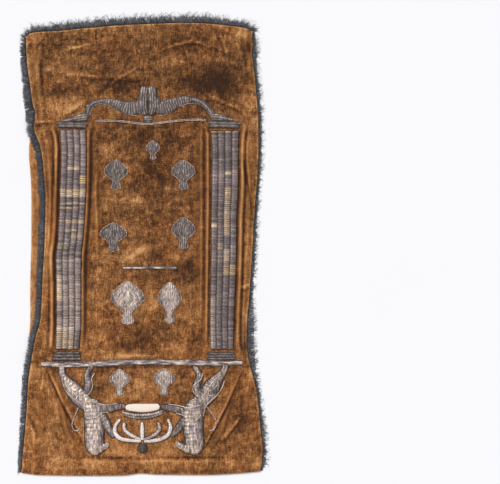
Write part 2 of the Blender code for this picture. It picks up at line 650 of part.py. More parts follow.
def fringe(name, edge, lifts, locks, seed):
    """A flat strip beside a cloth edge with tapered four-sided locks on its outer side.

    The edge runs with the outside on its left. lifts and locks give the strip's level and the locks' length
    at each of its points.
    """
    edge = np.asarray(edge, float)
    run = np.concatenate([[0], np.cumsum(np.hypot(*np.diff(edge, axis=0).T))])
    tangent = np.gradient(edge, run, axis=0)
    tangent /= np.hypot(*tangent.T)[:, None]
    outward = np.stack([-tangent[:, 1], tangent[:, 0]], axis=1)
    inner = edge + outward * STRIP_GAP
    outer = inner + outward * STRIP_WIDTH
    count = round(run[-1] / LOCK_PITCH)
    pitch = run[-1] / count
    draw = random.Random(seed)

    def at(values, distance):
        return np.array([np.interp(distance, run, column) for column in np.atleast_2d(values.T)])

    points = []
    faces = []
    for i in range(count + 1):
        start = i * pitch
        stops = (start,) if i == count else (start, start + LOCK_ROOT)
        for k, stop in enumerate(stops):
            level = float(at(lifts, stop)[0])
            for row in (outer, inner) if k == 0 else (outer,):
                x, y = at(row, stop)
                points += [(x, y, level), (x, y, level + STRIP_THICK)]
        if i == count:
            break
        base = 6 * i
        near, near_in, far, after, after_in = base, base + 2, base + 4, base + 6, base + 8
        faces.append([near + 1, near_in + 1, after_in + 1, after + 1, far + 1])
        faces.append([near, far, after, after_in, near_in])
        faces.append([near_in, after_in, after_in + 1, near_in + 1])
        faces.append([far, far + 1, after + 1, after])
    first, last = (0, 2), (6 * count, 6 * count + 2)
    faces.append([first[0], first[1], first[1] + 1, first[0] + 1])
    faces.append([last[0], last[0] + 1, last[1] + 1, last[1]])

    for i in range(count):
        near, far = 6 * i, 6 * i + 4
        middle = i * pitch + LOCK_ROOT / 2
        way = at(outward, middle)
        side = np.array([way[1], -way[0]])
        length = float(at(locks, middle)[0]) * (1 + draw.uniform(-LOCK_UNEVEN, LOCK_UNEVEN))
        sway = draw.uniform(-LOCK_SWAY, LOCK_SWAY)
        level = float(at(lifts, middle)[0])
        root = at(outer, middle)
        belly = root + way * length * LOCK_BELLY + side * sway * BELLY_SWAY
        tip = root + way * length + side * sway
        half = LOCK_ROOT * BELLY_SHARE / 2
        low = len(points)
        for part, height in ((-1, 0), (1, 0), (1, BELLY_RISE), (-1, BELLY_RISE)):
            x, y = belly + side * half * part
            points.append((x, y, level + height * STRIP_THICK))
        points.append((tip[0], tip[1], level + TIP_RISE * STRIP_THICK))
        ring = [near, far, far + 1, near + 1]
        spread = [low, low + 1, low + 2, low + 3]
        for k in range(4):
            m = (k + 1) % 4
            faces.append([ring[k], ring[m], spread[m], spread[k]])
            faces.append([spread[k], spread[m], low + 4])
    mesh = mesh_from(name, points, faces)
    shape = bmesh.new()
    shape.from_mesh(mesh)
    bmesh.ops.recalc_face_normals(shape, faces=shape.faces)
    shape.to_mesh(mesh)
    shape.free()
    add_object(name, mesh, "dark_silk")


def make_fringes():
    grid_x, grid_y = front_grid()

    y = np.linspace(LEFT_SIDE[-1].y + STRIP_INSET, LEFT_SIDE[0].y - CORNER_INSET, SIDE_STEPS)
    cut = np.interp(y, grid_y[:, 0], grid_x[:, 0])
    edge = np.stack([np.minimum(cut, side_x(LEFT_SIDE, y)), y], axis=1)
    lifts = column_of(LEFT_SIDE, "y", "lift", y)
    fringe("side_fringe_left", edge, lifts, column_of(LEFT_SIDE, "y", "lock", y), 3)

    y = np.linspace(RIGHT_SIDE[0].y - CORNER_INSET, RIGHT_SIDE[-1].y + STRIP_INSET, SIDE_STEPS)
    cut = np.interp(y, grid_y[:, -1], grid_x[:, -1])
    edge = np.stack([np.maximum(cut, side_x(RIGHT_SIDE, y)), y], axis=1)
    lifts = column_of(RIGHT_SIDE, "y", "lift", y)
    fringe("side_fringe_right", edge, lifts, column_of(RIGHT_SIDE, "y", "lock", y), 5)

    x = np.linspace(HEM_END[0].x + STRIP_INSET, HEM_END[-1].x - STRIP_INSET, HEM_STEPS)
    cut = np.interp(x, grid_x[-1], grid_y[-1])
    edge = np.stack([x, np.maximum(cut, end_y(HEM_END, x))], axis=1)
    fringe("hem_fringe", edge, np.zeros_like(x), column_of(HEM_LOCKS, "x", "y", x), 7)


def finer(rows):
    """The sections with one more midway between each two, on the curve through their neighbours."""
    given = np.array(rows, float)
    wider = np.vstack([2 * given[0] - given[1], given, 2 * given[-1] - given[-2]])
    midway = (9 * (wider[1:-2] + wider[2:-1]) - wider[:-3] - wider[3:]) / 16
    joined = np.empty((2 * len(given) - 1, given.shape[1]))
    joined[::2] = given
    joined[1::2] = midway
    return [Section(*row) for row in joined]


def limb_mesh(name, rows, lower=0.0):
    """A padded limb: a low wall with a crowned top on each section, lofted along the limb's middle line."""
    middle = np.array([(row.x, row.y) for row in rows], float)
    tangent = np.gradient(middle, axis=0)
    tangent /= np.hypot(*tangent.T)[:, None]
    side = np.stack([tangent[:, 1], -tangent[:, 0]], axis=1)
    points = []
    for row, centre, across in zip(rows, middle, side):
        for share in (-1, 1):
            x, y = centre + across * share * row.half
            points.append((x, y, velvet_top(x, y) + SEAT + lower))
        for rib in LIMB_TOP:
            x, y = centre + across * rib.across * row.half
            points.append((x, y, velvet_top(x, y) + SEAT + WALL + rib.crown * row.rise))
    return loft(name, points, 2 + len(LIMB_TOP), len(rows))


def loft(name, points, ring, sections):
    faces = []
    for s in range(sections - 1):
        for k in range(ring):
            m = (k + 1) % ring
            a, b = s * ring, (s + 1) * ring
            faces.append([a + k, a + m, b + m, b + k])
    faces.append(list(range(ring))[::-1])
    faces.append(list(range((sections - 1) * ring, sections * ring)))
    mesh = mesh_from(name, points, faces)
    shape = bmesh.new()
    shape.from_mesh(mesh)
    bmesh.ops.recalc_face_normals(shape, faces=shape.faces)
    shape.to_mesh(mesh)
    shape.free()
    return mesh


def padded_piece(name, limbs, finish):
    """One piece of raised work: its first limb with the others joined to it, each seated a little higher."""
    main = add_object(name, limb_mesh(name, limbs[0]), finish)
    for i, rows in enumerate(limbs[1:], 1):
        part = f"{name}_limb_{i}"
        helper = add_object(part, limb_mesh(part, rows, JOIN_STEP * i), finish, helper=True)
        join = main.modifiers.new(f"join_{i}", "BOOLEAN")
        join.operation = "UNION"
        join.object = helper


def make_shaft(name, rows):
    """A column shaft of reeds side by side: round-topped ribs over the whole length."""
    points = []
    steps = np.linspace(0, 1, REED_STEPS * REEDS + 1)
    for row in rows:
        for share in (0, 1):
            x = row.left + share * (row.right - row.left)
            points.append((x, row.y, velvet_top(x, row.y) + SEAT))
        for share in steps[::-1]:
            x = row.left + share * (row.right - row.left)
            crown = REED_VALLEY if round(share * REED_STEPS * REEDS) % REED_STEPS == 0 else 1.0
            points.append((x, row.y, velvet_top(x, row.y) + SEAT + WALL + crown * REED_RISE))
    ring = 2 + len(steps)
    add_object(name, loft(name, points, ring, len(rows)), "metal_thread")


def make_cord(name, rows):
    sections = [Section(row.x, row.y, CORD_HALF, CORD_RISE - WALL) for row in rows]
    add_object(name, limb_mesh(name, sections), "gilt_thread")


def make_motif(motif):
    """A plain bud on a foot: a stalk, a full belly and a point, the same for each place."""
    rows = []
    for at in MOTIF_STATIONS:
        rise = MOTIF_RISE * (MOTIF_LEAST + at.width)
        rows.append(Section(motif.x, motif.y + at.along * motif.tall, at.width * motif.wide, rise))
    padded_piece(motif.name, (rows,), "metal_thread")


def main():
    clear_scene()
    origin = bpy.data.objects.new("mantle_origin", None)
    origin.location = (-MIDDLE_X * MM, -MIDDLE_Y * MM, 0)
    collection("mantle").objects.link(origin)
    make_back_panel()
    make_front_panel()
    make_fringes()
    make_shaft("column_shaft_left", LEFT_SHAFT)
    make_shaft("column_shaft_right", RIGHT_SHAFT)
    for pieces in (COLUMN_ENDS, BARS):
        for name, limbs in pieces.items():
            padded_piece(name, limbs, "metal_thread")
    for pieces in (PEDIMENT, LIONS):
        for name, limbs in pieces.items():
            padded_piece(name, [finer(rows) for rows in limbs], "metal_thread")
    for name, rows in CORDS.items():
        make_cord(name, rows)
    finishes = {"crown_patch": "cream_cloth", "crown_bead": "dark_thread"}
    for name, limbs in CROWN.items():
        padded_piece(name, [finer(rows) for rows in limbs], finishes.get(name, "metal_thread"))
    for motif in MOTIFS:
        make_motif(motif)


main()
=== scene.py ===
"""An embroidered velvet mantle laid flat, dressed for a render.

It has crushed velvet, silk fringe and raised metal thread. Tables are in millimetres on the cloth's own
plan, +X to the right and +Y to the fringed hem. PLAN_X and PLAN_Y carry them to the frame, whose meshes are
in metres.
"""

import math
from collections import namedtuple

import bpy
import numpy as np
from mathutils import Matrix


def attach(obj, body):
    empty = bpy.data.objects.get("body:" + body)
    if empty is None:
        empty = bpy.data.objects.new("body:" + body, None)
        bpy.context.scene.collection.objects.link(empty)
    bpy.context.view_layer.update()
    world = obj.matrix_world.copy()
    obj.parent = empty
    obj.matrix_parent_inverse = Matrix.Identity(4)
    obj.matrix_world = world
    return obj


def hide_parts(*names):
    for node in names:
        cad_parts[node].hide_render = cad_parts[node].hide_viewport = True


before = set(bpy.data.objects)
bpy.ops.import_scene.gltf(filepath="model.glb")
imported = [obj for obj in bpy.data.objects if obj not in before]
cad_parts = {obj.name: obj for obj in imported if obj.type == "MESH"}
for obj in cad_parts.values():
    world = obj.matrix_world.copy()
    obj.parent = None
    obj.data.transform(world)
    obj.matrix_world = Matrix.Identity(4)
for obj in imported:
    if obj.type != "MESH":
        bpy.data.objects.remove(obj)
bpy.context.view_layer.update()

bl_info = {
    "name": "Velvet mantle",
    "version": (1, 0, 0),
    "blender": (4, 5, 0),
    "location": "View3D > Sidebar > Mantle",
    "description": "Crushed velvet, silk fringe and raised metal thread on a mantle laid flat",
    "category": "Object",
}

BODY = "root"
MM = 0.001
PLAN_X = 0.64
PLAN_Y = -2.304

# The photograph's frame: how its pixels lie on the plan.
PHOTO_WIDE = 500
PHOTO_ACROSS = 250.0
PHOTO_DOWN = 242.0
PLAN_ACROSS = 144.0
PLAN_DOWN = 245.0
PHOTO_MM = 1.9

# Cloth levels, as the solids have them.
BACK_THICK = 2.0
FRONT_THICK = 1.8
FOLD_SHARE = 0.45
FOLD_MOST = 1.8
CLOTH_GAP = 0.3
LIFT = BACK_THICK + CLOTH_GAP
LEVEL = LIFT + FRONT_THICK
ROLL_WIDTH = 7.0
ROLL_DROP = 0.7

# The two velvets: points across and along.
FRONT_GRID = (205, 236)
BACK_GRID = (90, 220)

# Raised work stands a little over the velvet on a short wall; its padding fills most of its volume.
SEAT = 0.1
WALL = 0.8

Side = namedtuple("Side", "y edge beyond lift lock")
End = namedtuple("End", "x y")
Fold = namedtuple("Fold", "y x rise")
Crease = namedtuple("Crease", "x0 y0 x1 y1 x2 y2 rise half")
Section = namedtuple("Section", "x y half rise")
Shaft = namedtuple("Shaft", "y left right")
Motif = namedtuple("Motif", "name x y tall wide")
Station = namedtuple("Station", "along width")
Patch = namedtuple("Patch", "px py wide tall tone")
Shade = namedtuple("Shade", "fold offset half tone")
Band = namedtuple("Band", "first last high low gold light")
Grain = namedtuple("Grain", "share across along seed")
Texture = namedtuple("Texture", "across along detail rough weight", defaults=(1.0,))
Curl = namedtuple("Curl", "across along twist thin weight")
Work = namedtuple(
    "Work", "lift across along contrast tint gaps depth metallic rough",
    defaults=(2.4, 0.3, 0.2, 0.0007, 0.35, 0.4),
)
Tuft = namedtuple("Tuft", "spacing shortest longest thick pale rings ragged tangle")
Fringe = namedtuple("Fringe", "seed full corners dense loose")
Course = namedtuple("Course", "run edge outward lifts locks")


def listed(kind, entries):
    """A table's entries as named rows."""
    return tuple(kind(*entry) for entry in entries)


def grouped(kind, groups):
    """Several tables of one kind of row."""
    return tuple(listed(kind, entries) for entries in groups)


# The sides: the front's edge, the back's reach beyond it, the fringe's lift and its locks' length.
LEFT_SIDE = listed(Side, (
    (395, -224, 0, 0, 9), (351, -222, 0, 0, 9), (313, -217.5, 0, 0, 11), (266, -211, 0, 0, 15),
    (250, -206.5, 0, 0, 17), (236, -207.5, 0, LIFT, 16), (226, -209, 0, LIFT, 13), (217, -208, 1, LIFT, 12),
    (205, -204, 10, LIFT, 12), (190, -198, 20.5, LIFT, 10), (161, -192.5, 26, LIFT, 9),
    (131, -190, 26, LIFT, 9), (85, -187, 27.5, LIFT, 10), (9, -189, 25.5, LIFT, 9),
    (-66, -193, 23.5, LIFT, 9), (-142, -197, 19.5, LIFT, 9), (-171, -205, 13, LIFT, 9),
    (-190, -209, 8, LIFT, 9), (-206, -212, 2, LIFT, 9), (-214, -213.5, 0, LIFT, 9),
    (-224, -215, 0, LIFT, 9), (-240, -217.5, 0, 0, 9), (-256, -219.5, 0, 0, 9), (-332, -224.5, 0, 0, 8),
    (-408, -231, 0, 0, 6), (-433, -233, 0, 0, 5),
))
RIGHT_SIDE = listed(Side, (
    (404, 206, 0, 0, 9), (390, 207, 0, 0, 9), (372, 204.6, 0, 0, 13), (355, 207, 0, 0, 10),
    (323, 210, 0, 0, 9), (294, 212.5, 0, 0, 9), (247, 217, 0, 0, 9), (180, 217.5, 0, 0, 9),
    (133, 215.5, 0, 0, 9), (66, 210, 0, 0, 8), (9, 207, 0, 0, 8), (-47, 203.5, 0, 0, 8),
    (-104, 199.5, 0, 0, 11), (-142, 196, 0, 0, 17), (-180, 195, 0, 0, 19), (-218, 198.5, 0, 0, 17),
    (-247, 206, 0, 0, 10), (-275, 213, 0, 0, 8), (-313, 218, 0, 0, 8), (-351, 221.5, 0, 0, 9),
    (-389, 225, 0, 0, 11), (-418, 224, 0, 0, 10), (-431, 221, 0, 0, 7),
))
HEM_END = listed(End, (
    (-224, 396), (-214, 403), (-188, 405.5), (-160, 407), (-122, 411), (-91, 413.5), (-46, 417.5),
    (11, 420), (68, 422), (106, 421.5), (144, 418.5), (182, 414), (197, 411), (206, 406),
))
TOP_END = listed(End, (
    (-233, -433), (-200, -437), (-100, -438.5), (-40, -438), (-7, -434), (25, -436), (110, -437),
    (180, -434), (221, -430),
))
HEM_LOCKS = listed(End, (
    (-224, 13), (-120, 15), (0, 16), (120, 15), (206, 13),
))
FOLDS = {
    "left_edge_fold": listed(Fold, (
        (420, -203, 0), (378, -206, 1.8), (330, -205, 1.8), (266, -198, 1.0), (230, -193, 0.6),
        (190, -184, 1.2), (150, -180, 2.8), (85, -177, 3.2), (9, -180, 2.4), (-66, -183, 1.4),
        (-142, -186, 0), (-233, -195, 0), (-256, -196, 0.8), (-332, -190, 1.2), (-380, -175, 0),
        (-439, -172, 0),
    )),
    "left_column_fold": listed(Fold, (
        (420, -175, 0), (280, -176, 0), (232, -175, 0.5), (205, -167, 3.4), (180, -165, 4.0),
        (104, -167, 4.0), (47, -168.5, 4.0), (9, -171, 3.6), (-25, -174.5, 3.4), (-85, -173.5, 3.6),
        (-142, -173.5, 3.4), (-185, -175, 2.4), (-205, -178, 0), (-235, -178, 0), (-250, -174, 1.8),
        (-275, -162, 3.0), (-302, -155, 3.4), (-340, -148.5, 3.4), (-362, -141, 2.8), (-382, -127, 1.8),
        (-402, -114, 0), (-439, -106, 0),
    )),
    "column_inner_fold": listed(Fold, (
        (420, -108, 0), (230, -100, 0), (205, -101.5, 2.4), (150, -102, 3.4), (104, -103, 3.4),
        (47, -106, 3.0), (9, -109, 3.0), (-25, -112, 3.0), (-142, -112.5, 2.6), (-190, -115, 1.2),
        (-215, -116, 0), (-300, -110, 0), (-340, -100, 0), (-380, -82, 0), (-439, -76, 0),
    )),
    "left_field_fold": listed(Fold, (
        (420, -85, 0), (230, -91, 0), (170, -92, 0), (104, -92, 2.2), (47, -90, 2.2), (9, -89, 1.6),
        (-50, -89, 0), (-230, -90, 0), (-300, -85, 0), (-340, -75, 0), (-380, -58, 0), (-439, -50, 0),
    )),
    "right_field_fold": listed(Fold, (
        (420, 100, 0), (240, 106, 0), (200, 107, 2.0), (104, 107.5, 2.4), (-50, 107, 2.2),
        (-120, 106.5, 1.6), (-170, 106, 0), (-230, 103, 0), (-300, 95, 0), (-340, 85, 0), (-380, 68, 0),
        (-439, 60, 0),
    )),
    "column_outer_fold": listed(Fold, (
        (420, 122, 0), (235, 114.5, 0), (205, 121, 2.8), (104, 121.5, 3.4), (9, 120.5, 3.4),
        (-66, 119.5, 3.2), (-140, 118.5, 3.0), (-190, 118, 1.4), (-212, 117, 0), (-300, 113, 0),
        (-340, 106, 0), (-380, 90, 0), (-439, 84, 0),
    )),
    "right_column_fold": listed(Fold, (
        (420, 184, 0), (275, 192, 0), (238, 192, 0.8), (205, 187.5, 2.8), (180, 186.5, 3.8),
        (104, 186, 3.8), (47, 183, 3.6), (9, 182.5, 3.4), (-66, 181, 3.4), (-140, 178, 3.2),
        (-185, 177, 2.0), (-208, 179, 0), (-235, 182, 0), (-250, 180, 1.8), (-296, 162, 3.2),
        (-342, 150, 3.2), (-363, 141, 2.6), (-388, 126, 1.4), (-408, 117, 0), (-439, 112, 0),
    )),
    "right_edge_fold": listed(Fold, (
        (420, 195, 0), (380, 193, 2.6), (350, 200, 2.0), (300, 204, 0), (225, 203, 0), (190, 196, 2.4),
        (171, 195.5, 2.8), (123, 200, 3.2), (85, 200, 2.4), (9, 196, 1.4), (-66, 192, 1.8),
        (-142, 188, 1.8), (-190, 188, 0), (-256, 196, 0), (-320, 192, 1.6), (-370, 184, 0), (-439, 180, 0),
    )),
}
FOLD_HALF = 5.4
FULL_FOLD = 3.0
CREASES = listed(Crease, (
    (-150, 370, -124, 375, -99, 382, 2.2, 9), (36, 373, 97, 387, 148, 371, 3.0, 10),
    (135, 405, 145, 382, 152, 361, 2.4, 10), (-84, 294, -50, 315, -8, 340, 1.4, 18),
    (-205, 228, -190, 231, -176, 231, 2.2, 8), (-156, 243, -125, 262, -97, 281, 2.2, 8),
    (114, 286, 166, 262, 190, 250, 2.6, 8), (-160, -413, 20, -411, 182, -413, 1.4, 7),
    (-222, -331, -210, -355, -208, -380, 1.6, 8), (182, -82, 190, -79, 199, -74, 1.6, 8),
    (150, -368, 166, -350, 182, -326, 1.8, 10),
))
# Small creases that only the cloth's fine surface has.
SMALL_CREASES = listed(Crease, (
    (-184, 407, -183, 394, -184, 384, 0.7, 4), (-156, 409, -155, 396, -156, 385, 0.7, 4),
    (-120, 411, -121, 398, -120, 386, 0.7, 4), (-91, 413, -91, 398, -92, 384, 1.0, 4),
    (-150, 322, -60, 318, 20, 321, 0.5, 6), (-140, 345, -100, 339, -60, 344, 0.5, 6),
    (30, 352, 70, 346, 118, 350, 0.6, 6), (190, -128, 194, -133, 199, -137, 0.9, 4),
    (-70, 78, -40, 84, -16, 80, 0.6, 6), (-42, -28, -18, -14, 6, 2, 0.8, 7),
    (-66, -210, -40, -213, -8, -209, 0.8, 5), (-190, -400, -150, -404, -110, -399, 0.6, 6),
    (120, -404, 160, -399, 200, -402, 0.6, 6), (200, -300, 204, -350, 210, -400, 0.7, 6),
))
CREASE_FADE = 1.15
HEM_DEPTH = 23.0
HEM_RISE = 0.9
HEM_STEP = 4.0
SWELL = 1.1
SWELL_WAVE = 0.45
SWELL_LONG = 75.0
SWELL_ACROSS = 62.0
KINK_X = -141.0
KINK_Y = -20.0
KINK_RISE = 0.8
KINK_REACH = 75.0
HEM_ROW = 420.0
TOP_ROW = -436.0
HEM_LEAN = 300.0
TOP_LEAN = -380.0

# The crushed surface: random heights, all a little sunk, and how much of them the under face shows.
CRUSH_GRAINS = listed(Grain, ((0.3, 13, 17, 1), (0.2, 7, 9, 2)))
CRUSH_SINK = 0.3
UNDER_CRUSH = 0.6

# Where the pile is painted lighter or darker beside a fold, from its middle line: painted highlight on the
# ridges, painted shade in the valleys beside them.
SHADES = listed(Shade, (
    ("left_edge_fold", 0, 4, 0.24), ("left_edge_fold", 8, 3.4, -0.26), ("left_column_fold", -1.5, 3.6, 0.4),
    ("left_column_fold", 4.2, 2.8, -0.5), ("left_column_fold", -7.5, 3, -0.3),
    ("column_inner_fold", -5, 2.6, 0.3), ("column_inner_fold", 1, 4.2, -0.44),
    ("left_field_fold", 0, 3, 0.4), ("left_field_fold", 5.5, 3, -0.2), ("right_field_fold", 1.5, 2.6, 0.4),
    ("right_field_fold", 7, 3.6, -0.42), ("column_outer_fold", 0, 2.8, 0.36),
    ("column_outer_fold", 4, 2.4, -0.3), ("right_column_fold", 1, 3.4, 0.42),
    ("right_column_fold", 6.5, 3, -0.46), ("right_column_fold", -5, 2.6, -0.3),
    ("right_edge_fold", 0, 3.6, 0.24), ("right_edge_fold", -7, 3.4, -0.2),
))

# Thin lines of painted shade in creases and seams, with painted highlight on their raised sides: their rise
# column is a tone, dark where negative.
SHADE_LINES = listed(Crease, (
    (-187, -234, -153, -308, -113, -386, -0.7, 2.6), (-182, -236, -148, -307, -109, -381, 0.36, 2.6),
    (187, -241, 156, -313, 116, -386, -0.66, 2.6), (182, -240, 151, -312, 112, -384, 0.36, 2.6),
    (-84, 290, -46, 311, -8, 336, -0.36, 3), (-87, 295, -50, 316, -8, 341, 0.3, 2.6),
    (-150, 371, -124, 377, -100, 383, 0.5, 3), (-150, 366, -124, 371, -100, 377, -0.2, 3),
    (36, 374, 90, 388, 148, 371, 0.55, 2.6), (40, 369, 90, 383, 148, 366, -0.26, 3),
    (-226, 381, -160, 380, -92, 382, -0.26, 3), (-91, 413, -91, 398, -91, 383, -0.5, 2.2),
    (-184, 407, -183, 394, -184, 384, -0.34, 2.2), (-156, 409, -155, 396, -156, 385, -0.24, 2.2),
    (-120, 411, -121, 398, -120, 386, -0.24, 2.2), (-196, 404, -190, 392, -206, 372, -0.4, 3),
    (135, 405, 147, 382, 152, 361, -0.4, 3.4), (141, 405, 153, 382, 158, 361, 0.3, 3),
    (-170, -402, 20, -405, 182, -402, -0.4, 2.6), (-160, -411, 20, -411, 182, -411, 0.16, 3.4),
    (189, 161, 196, 122, 206, 57, -0.44, 3), (184, 165, 189, 122, 198, 60, 0.2, 3),
    (-210, 226, -190, 229, -171, 229, -0.5, 3), (-208, 233, -190, 235, -171, 236, 0.34, 3),
    (114, 283, 166, 260, 190, 248, -0.3, 3), (114, 289, 166, 266, 192, 254, 0.24, 2.6),
    (-156, 240, -125, 257, -97, 276, -0.26, 3), (-158, 246, -127, 264, -99, 283, 0.16, 3),
    (-150, 324, -70, 320, 20, 323, 0.22, 3), (-150, 318, -70, 314, 20, 317, -0.2, 3),
    (-196, 395, -202, 340, -196, 268, 0.28, 4), (-189, 395, -195, 340, -188, 262, -0.2, 4),
    (184, -80, 192, -78, 203, -72, 0.5, 2.6), (184, -88, 192, -86, 203, -80, -0.4, 2.6),
    (186, -128, 193, -133, 201, -138, 0.4, 2.6), (-222, -331, -208, -356, -210, -382, 0.4, 3),
    (-216, -329, -203, -356, -205, -382, -0.3, 3), (150, -366, 166, -348, 184, -324, 0.3, 2.6),
    (154, -370, 170, -352, 188, -328, -0.4, 2.6), (-42, -32, -18, -18, 6, -4, 0.3, 5),
    (-48, -211, -10, -210, 30, -211, 0.4, 3), (-190, -234, -193, -262, -197, -280, 0.36, 3),
    (112, 215, 150, 218, 190, 214, -0.34, 2.4), (-172, 214, -140, 217, -104, 213, -0.34, 2.4),
    (-98, 224, 0, 222, 116, 226, -0.2, 4), (-195, -233, 0, -230, 190, -231, -0.4, 3),
    (-168, 311, -153, 312, -138, 312, 0.4, 2.4), (-129, 328, -126, 317, -123, 306, 0.34, 2.4),
    (-112, 322, -94, 320, -76, 317, 0.4, 2.4), (-185, 331, -177, 334, -168, 336, 0.34, 2.4),
    (-92, 390, -73, 399, -55, 399, -0.44, 2.6), (-89, 372, -75, 369, -60, 366, -0.36, 2.4),
    (-79, 296, -67, 307, -55, 320, -0.4, 3.4), (-57, 313, -32, 316, -6, 317, 0.3, 2.4),
    (-46, 310, -23, 311, 2, 312, -0.3, 2.4), (86, 301, 104, 293, 122, 283, -0.4, 2.8),
    (94, 384, 124, 379, 154, 364, -0.4, 2.6), (-160, 392, -130, 390, -96, 394, -0.24, 2.6),
))

# Lighter and darker patches of the crushed pile, by their place in the photograph.
PATCHES = listed(Patch, (
    (34, 38, 9, 5, 0.04), (60, 36, 12, 6, -0.02), (82, 37, 10, 6, -0.08), (67, 75, 9, 7, 0.14),
    (66, 60, 14, 8, 0.08), (145, 64, 24, 6, 0.12), (180, 60, 16, 7, 0.08), (120, 72, 40, 4, 0.08),
    (185, 41, 32, 6, -0.16), (210, 82, 30, 13, -0.2), (216, 78, 14, 15, -0.16), (230, 84, 13, 12, -0.14),
    (67, 88, 10, 8, -0.16), (120, 86, 24, 8, -0.2), (99, 80, 10, 6, -0.12), (60, 108, 14, 9, 0.16),
    (80, 106, 12, 7, 0.04), (238, 34, 13, 6, 0.12), (247, 48, 5, 7, -0.24), (250, 100, 6, 12, 0.06),
    (228, 108, 14, 8, 0.0), (190, 84, 18, 8, -0.16), (145, 62, 95, 24, -0.1), (145, 400, 130, 80, 0.07),
    (145, 465, 130, 8, 0.0), (48, 410, 22, 36, 0.04), (250, 230, 8, 110, 0.1), (46, 230, 8, 110, 0.08),
    (244, 36, 9, 8, 0.12), (36, 60, 6, 16, 0.06), (42, 84, 8, 12, -0.12), (205, 108, 10, 6, -0.12),
    (104, 132, 10, 8, 0.02), (118, 138, 12, 8, -0.08), (145, 138, 12, 9, -0.22), (172, 140, 12, 10, -0.2),
    (190, 134, 8, 8, 0.02), (163, 172, 14, 18, -0.2), (148, 166, 8, 14, -0.14), (197, 172, 10, 40, -0.12),
    (188, 202, 14, 8, 0.02), (118, 201, 12, 6, 0.16), (137, 201, 5, 6, 0.3), (156, 206, 7, 8, 0.0),
    (165, 216, 14, 8, -0.14), (124, 213, 12, 6, -0.06), (103, 150, 5, 20, 0.06), (138, 190, 10, 14, -0.12),
    (126, 258, 10, 5, 0.26), (140, 250, 10, 5, 0.28), (157, 256, 10, 8, -0.2), (188, 268, 13, 12, -0.18),
    (176, 256, 8, 5, 0.16), (101, 268, 7, 14, 0.12), (140, 232, 20, 8, 0.0), (155, 280, 16, 6, -0.06),
    (128, 296, 6, 12, 0.2), (154, 300, 8, 14, 0.1), (190, 298, 10, 18, 0.06), (188, 320, 8, 8, 0.18),
    (138, 342, 18, 10, -0.24), (118, 338, 10, 8, -0.06), (166, 336, 12, 8, -0.12), (178, 350, 12, 7, 0.04),
    (120, 356, 12, 3, 0.22), (198, 340, 8, 10, -0.1), (100, 320, 6, 20, 0.08), (104, 240, 6, 12, -0.04),
    (46, 190, 4, 30, -0.1), (49, 250, 4, 30, 0.16), (46, 345, 6, 8, 0.1), (243, 150, 6, 12, 0.06),
    (250, 205, 5, 16, -0.12), (246, 250, 5, 20, 0.04), (247, 315, 4, 12, 0.1), (246, 344, 5, 12, -0.2),
    (34, 374, 8, 10, 0.18), (56, 392, 8, 12, 0.04), (72, 414, 10, 14, -0.06), (42, 412, 9, 14, 0.0),
    (50, 440, 12, 10, 0.08), (29, 440, 5, 16, 0.12), (96, 464, 20, 6, 0.26), (122, 452, 14, 6, 0.22),
    (150, 462, 22, 6, 0.2), (30, 464, 8, 8, 0.12), (58, 463, 14, 7, 0.14), (165, 452, 10, 7, 0.14),
    (152, 428, 10, 8, 0.14), (192, 462, 16, 7, 0.06), (227, 392, 10, 10, 0.0), (240, 416, 9, 14, -0.16),
    (224, 420, 8, 12, -0.02), (221, 442, 9, 8, -0.1), (250, 440, 6, 10, 0.0), (257, 462, 6, 10, 0.16),
    (228, 463, 14, 6, 0.12), (140, 386, 8, 12, 0.14), (101, 384, 8, 9, -0.1), (186, 380, 8, 9, -0.02),
    (115, 425, 8, 12, 0.06), (172, 425, 8, 12, 0.04), (251, 376, 6, 8, 0.08),
))
PATCH_SHARE = 1.35
NAP_MIDDLE = 0.45
BROAD_NAP = listed(Grain, ((0.07, 34, 30, 3),))
FINE_NAP = listed(Grain, ((0.09, 15, 13, 4), (0.12, 4.4, 12, 5), (0.12, 12, 5.5, 6)))
# Painted highlight: each crease's ridge is made a little lighter by its height.
CREASE_HIGHLIGHT = 0.03
LOW_SHADE = 0.3
LOW_END = -250.0
LOW_BLEND = 30.0
CALM_HALF = 13.0
CALM_SHARE = 0.7
RIM_TONE = 0.3
RIM_HALF = 4.0
# Warmth of the brown: ruddier away from the hem.
WARM_MIDDLE = 0.42
WARM_LONG = 1400.0
WARM_GRAINS = listed(Grain, ((0.5, 42, 34, 8),))
# The back panel's pile is paler and more even.
BACK_NAP = 0.66
BACK_GRAINS = listed(Grain, ((0.1, 8, 20, 11), (0.08, 4, 7, 12)))
BACK_RIM = 3.0
BACK_RIM_TONE = 0.2
BACK_RIM_DROP = 0.5
BACK_WARM = 0.35
BACK_CALM = 0.3
BACK_CRUSH = 0.8

LEFT_SHAFT = listed(Shaft, (
    (218, -159.5, -110), (180, -157.5, -109), (104, -159.5, -110), (47, -161.5, -113), (9, -163.5, -116),
    (-25, -167, -119), (-85, -166, -119.5), (-142, -166, -119.5), (-197, -167.5, -123),
))
RIGHT_SHAFT = listed(Shaft, (
    (216, 127, 180.5), (180, 129, 179.5), (104, 128.5, 179), (47, 127.5, 176), (9, 127.5, 176),
    (-66, 126.5, 174), (-140, 125.5, 171), (-197, 126, 170),
))
REEDS = 4
REED_RISE = 1.9
REED_FOOT = 0.7
REED_POINTS = 11
REED_POWER = 0.42
# How tightly the painted shade on each reed's sides keeps to its edges.
REED_SHADE_POWER = 7
THREAD_PITCH = 2.0
THREAD_STEPS = 4
THREAD_DEPTH = 0.16
THREAD_SLANT = 0.9
SHAFT_WOBBLE = 0.7
WOBBLE_PITCH = 38.0
# Tones of the laid threads: the middle, how far each reed's and each thread's tone strays, and slow clouds.
SHAFT_TONE = 0.42
REED_TONES = 0.07
THREAD_TONES = 0.05
THREAD_COUNT = 512
CLOUD_TONE = 0.12
CLOUD_ACROSS = 300.0
CLOUD_ALONG = 26.0

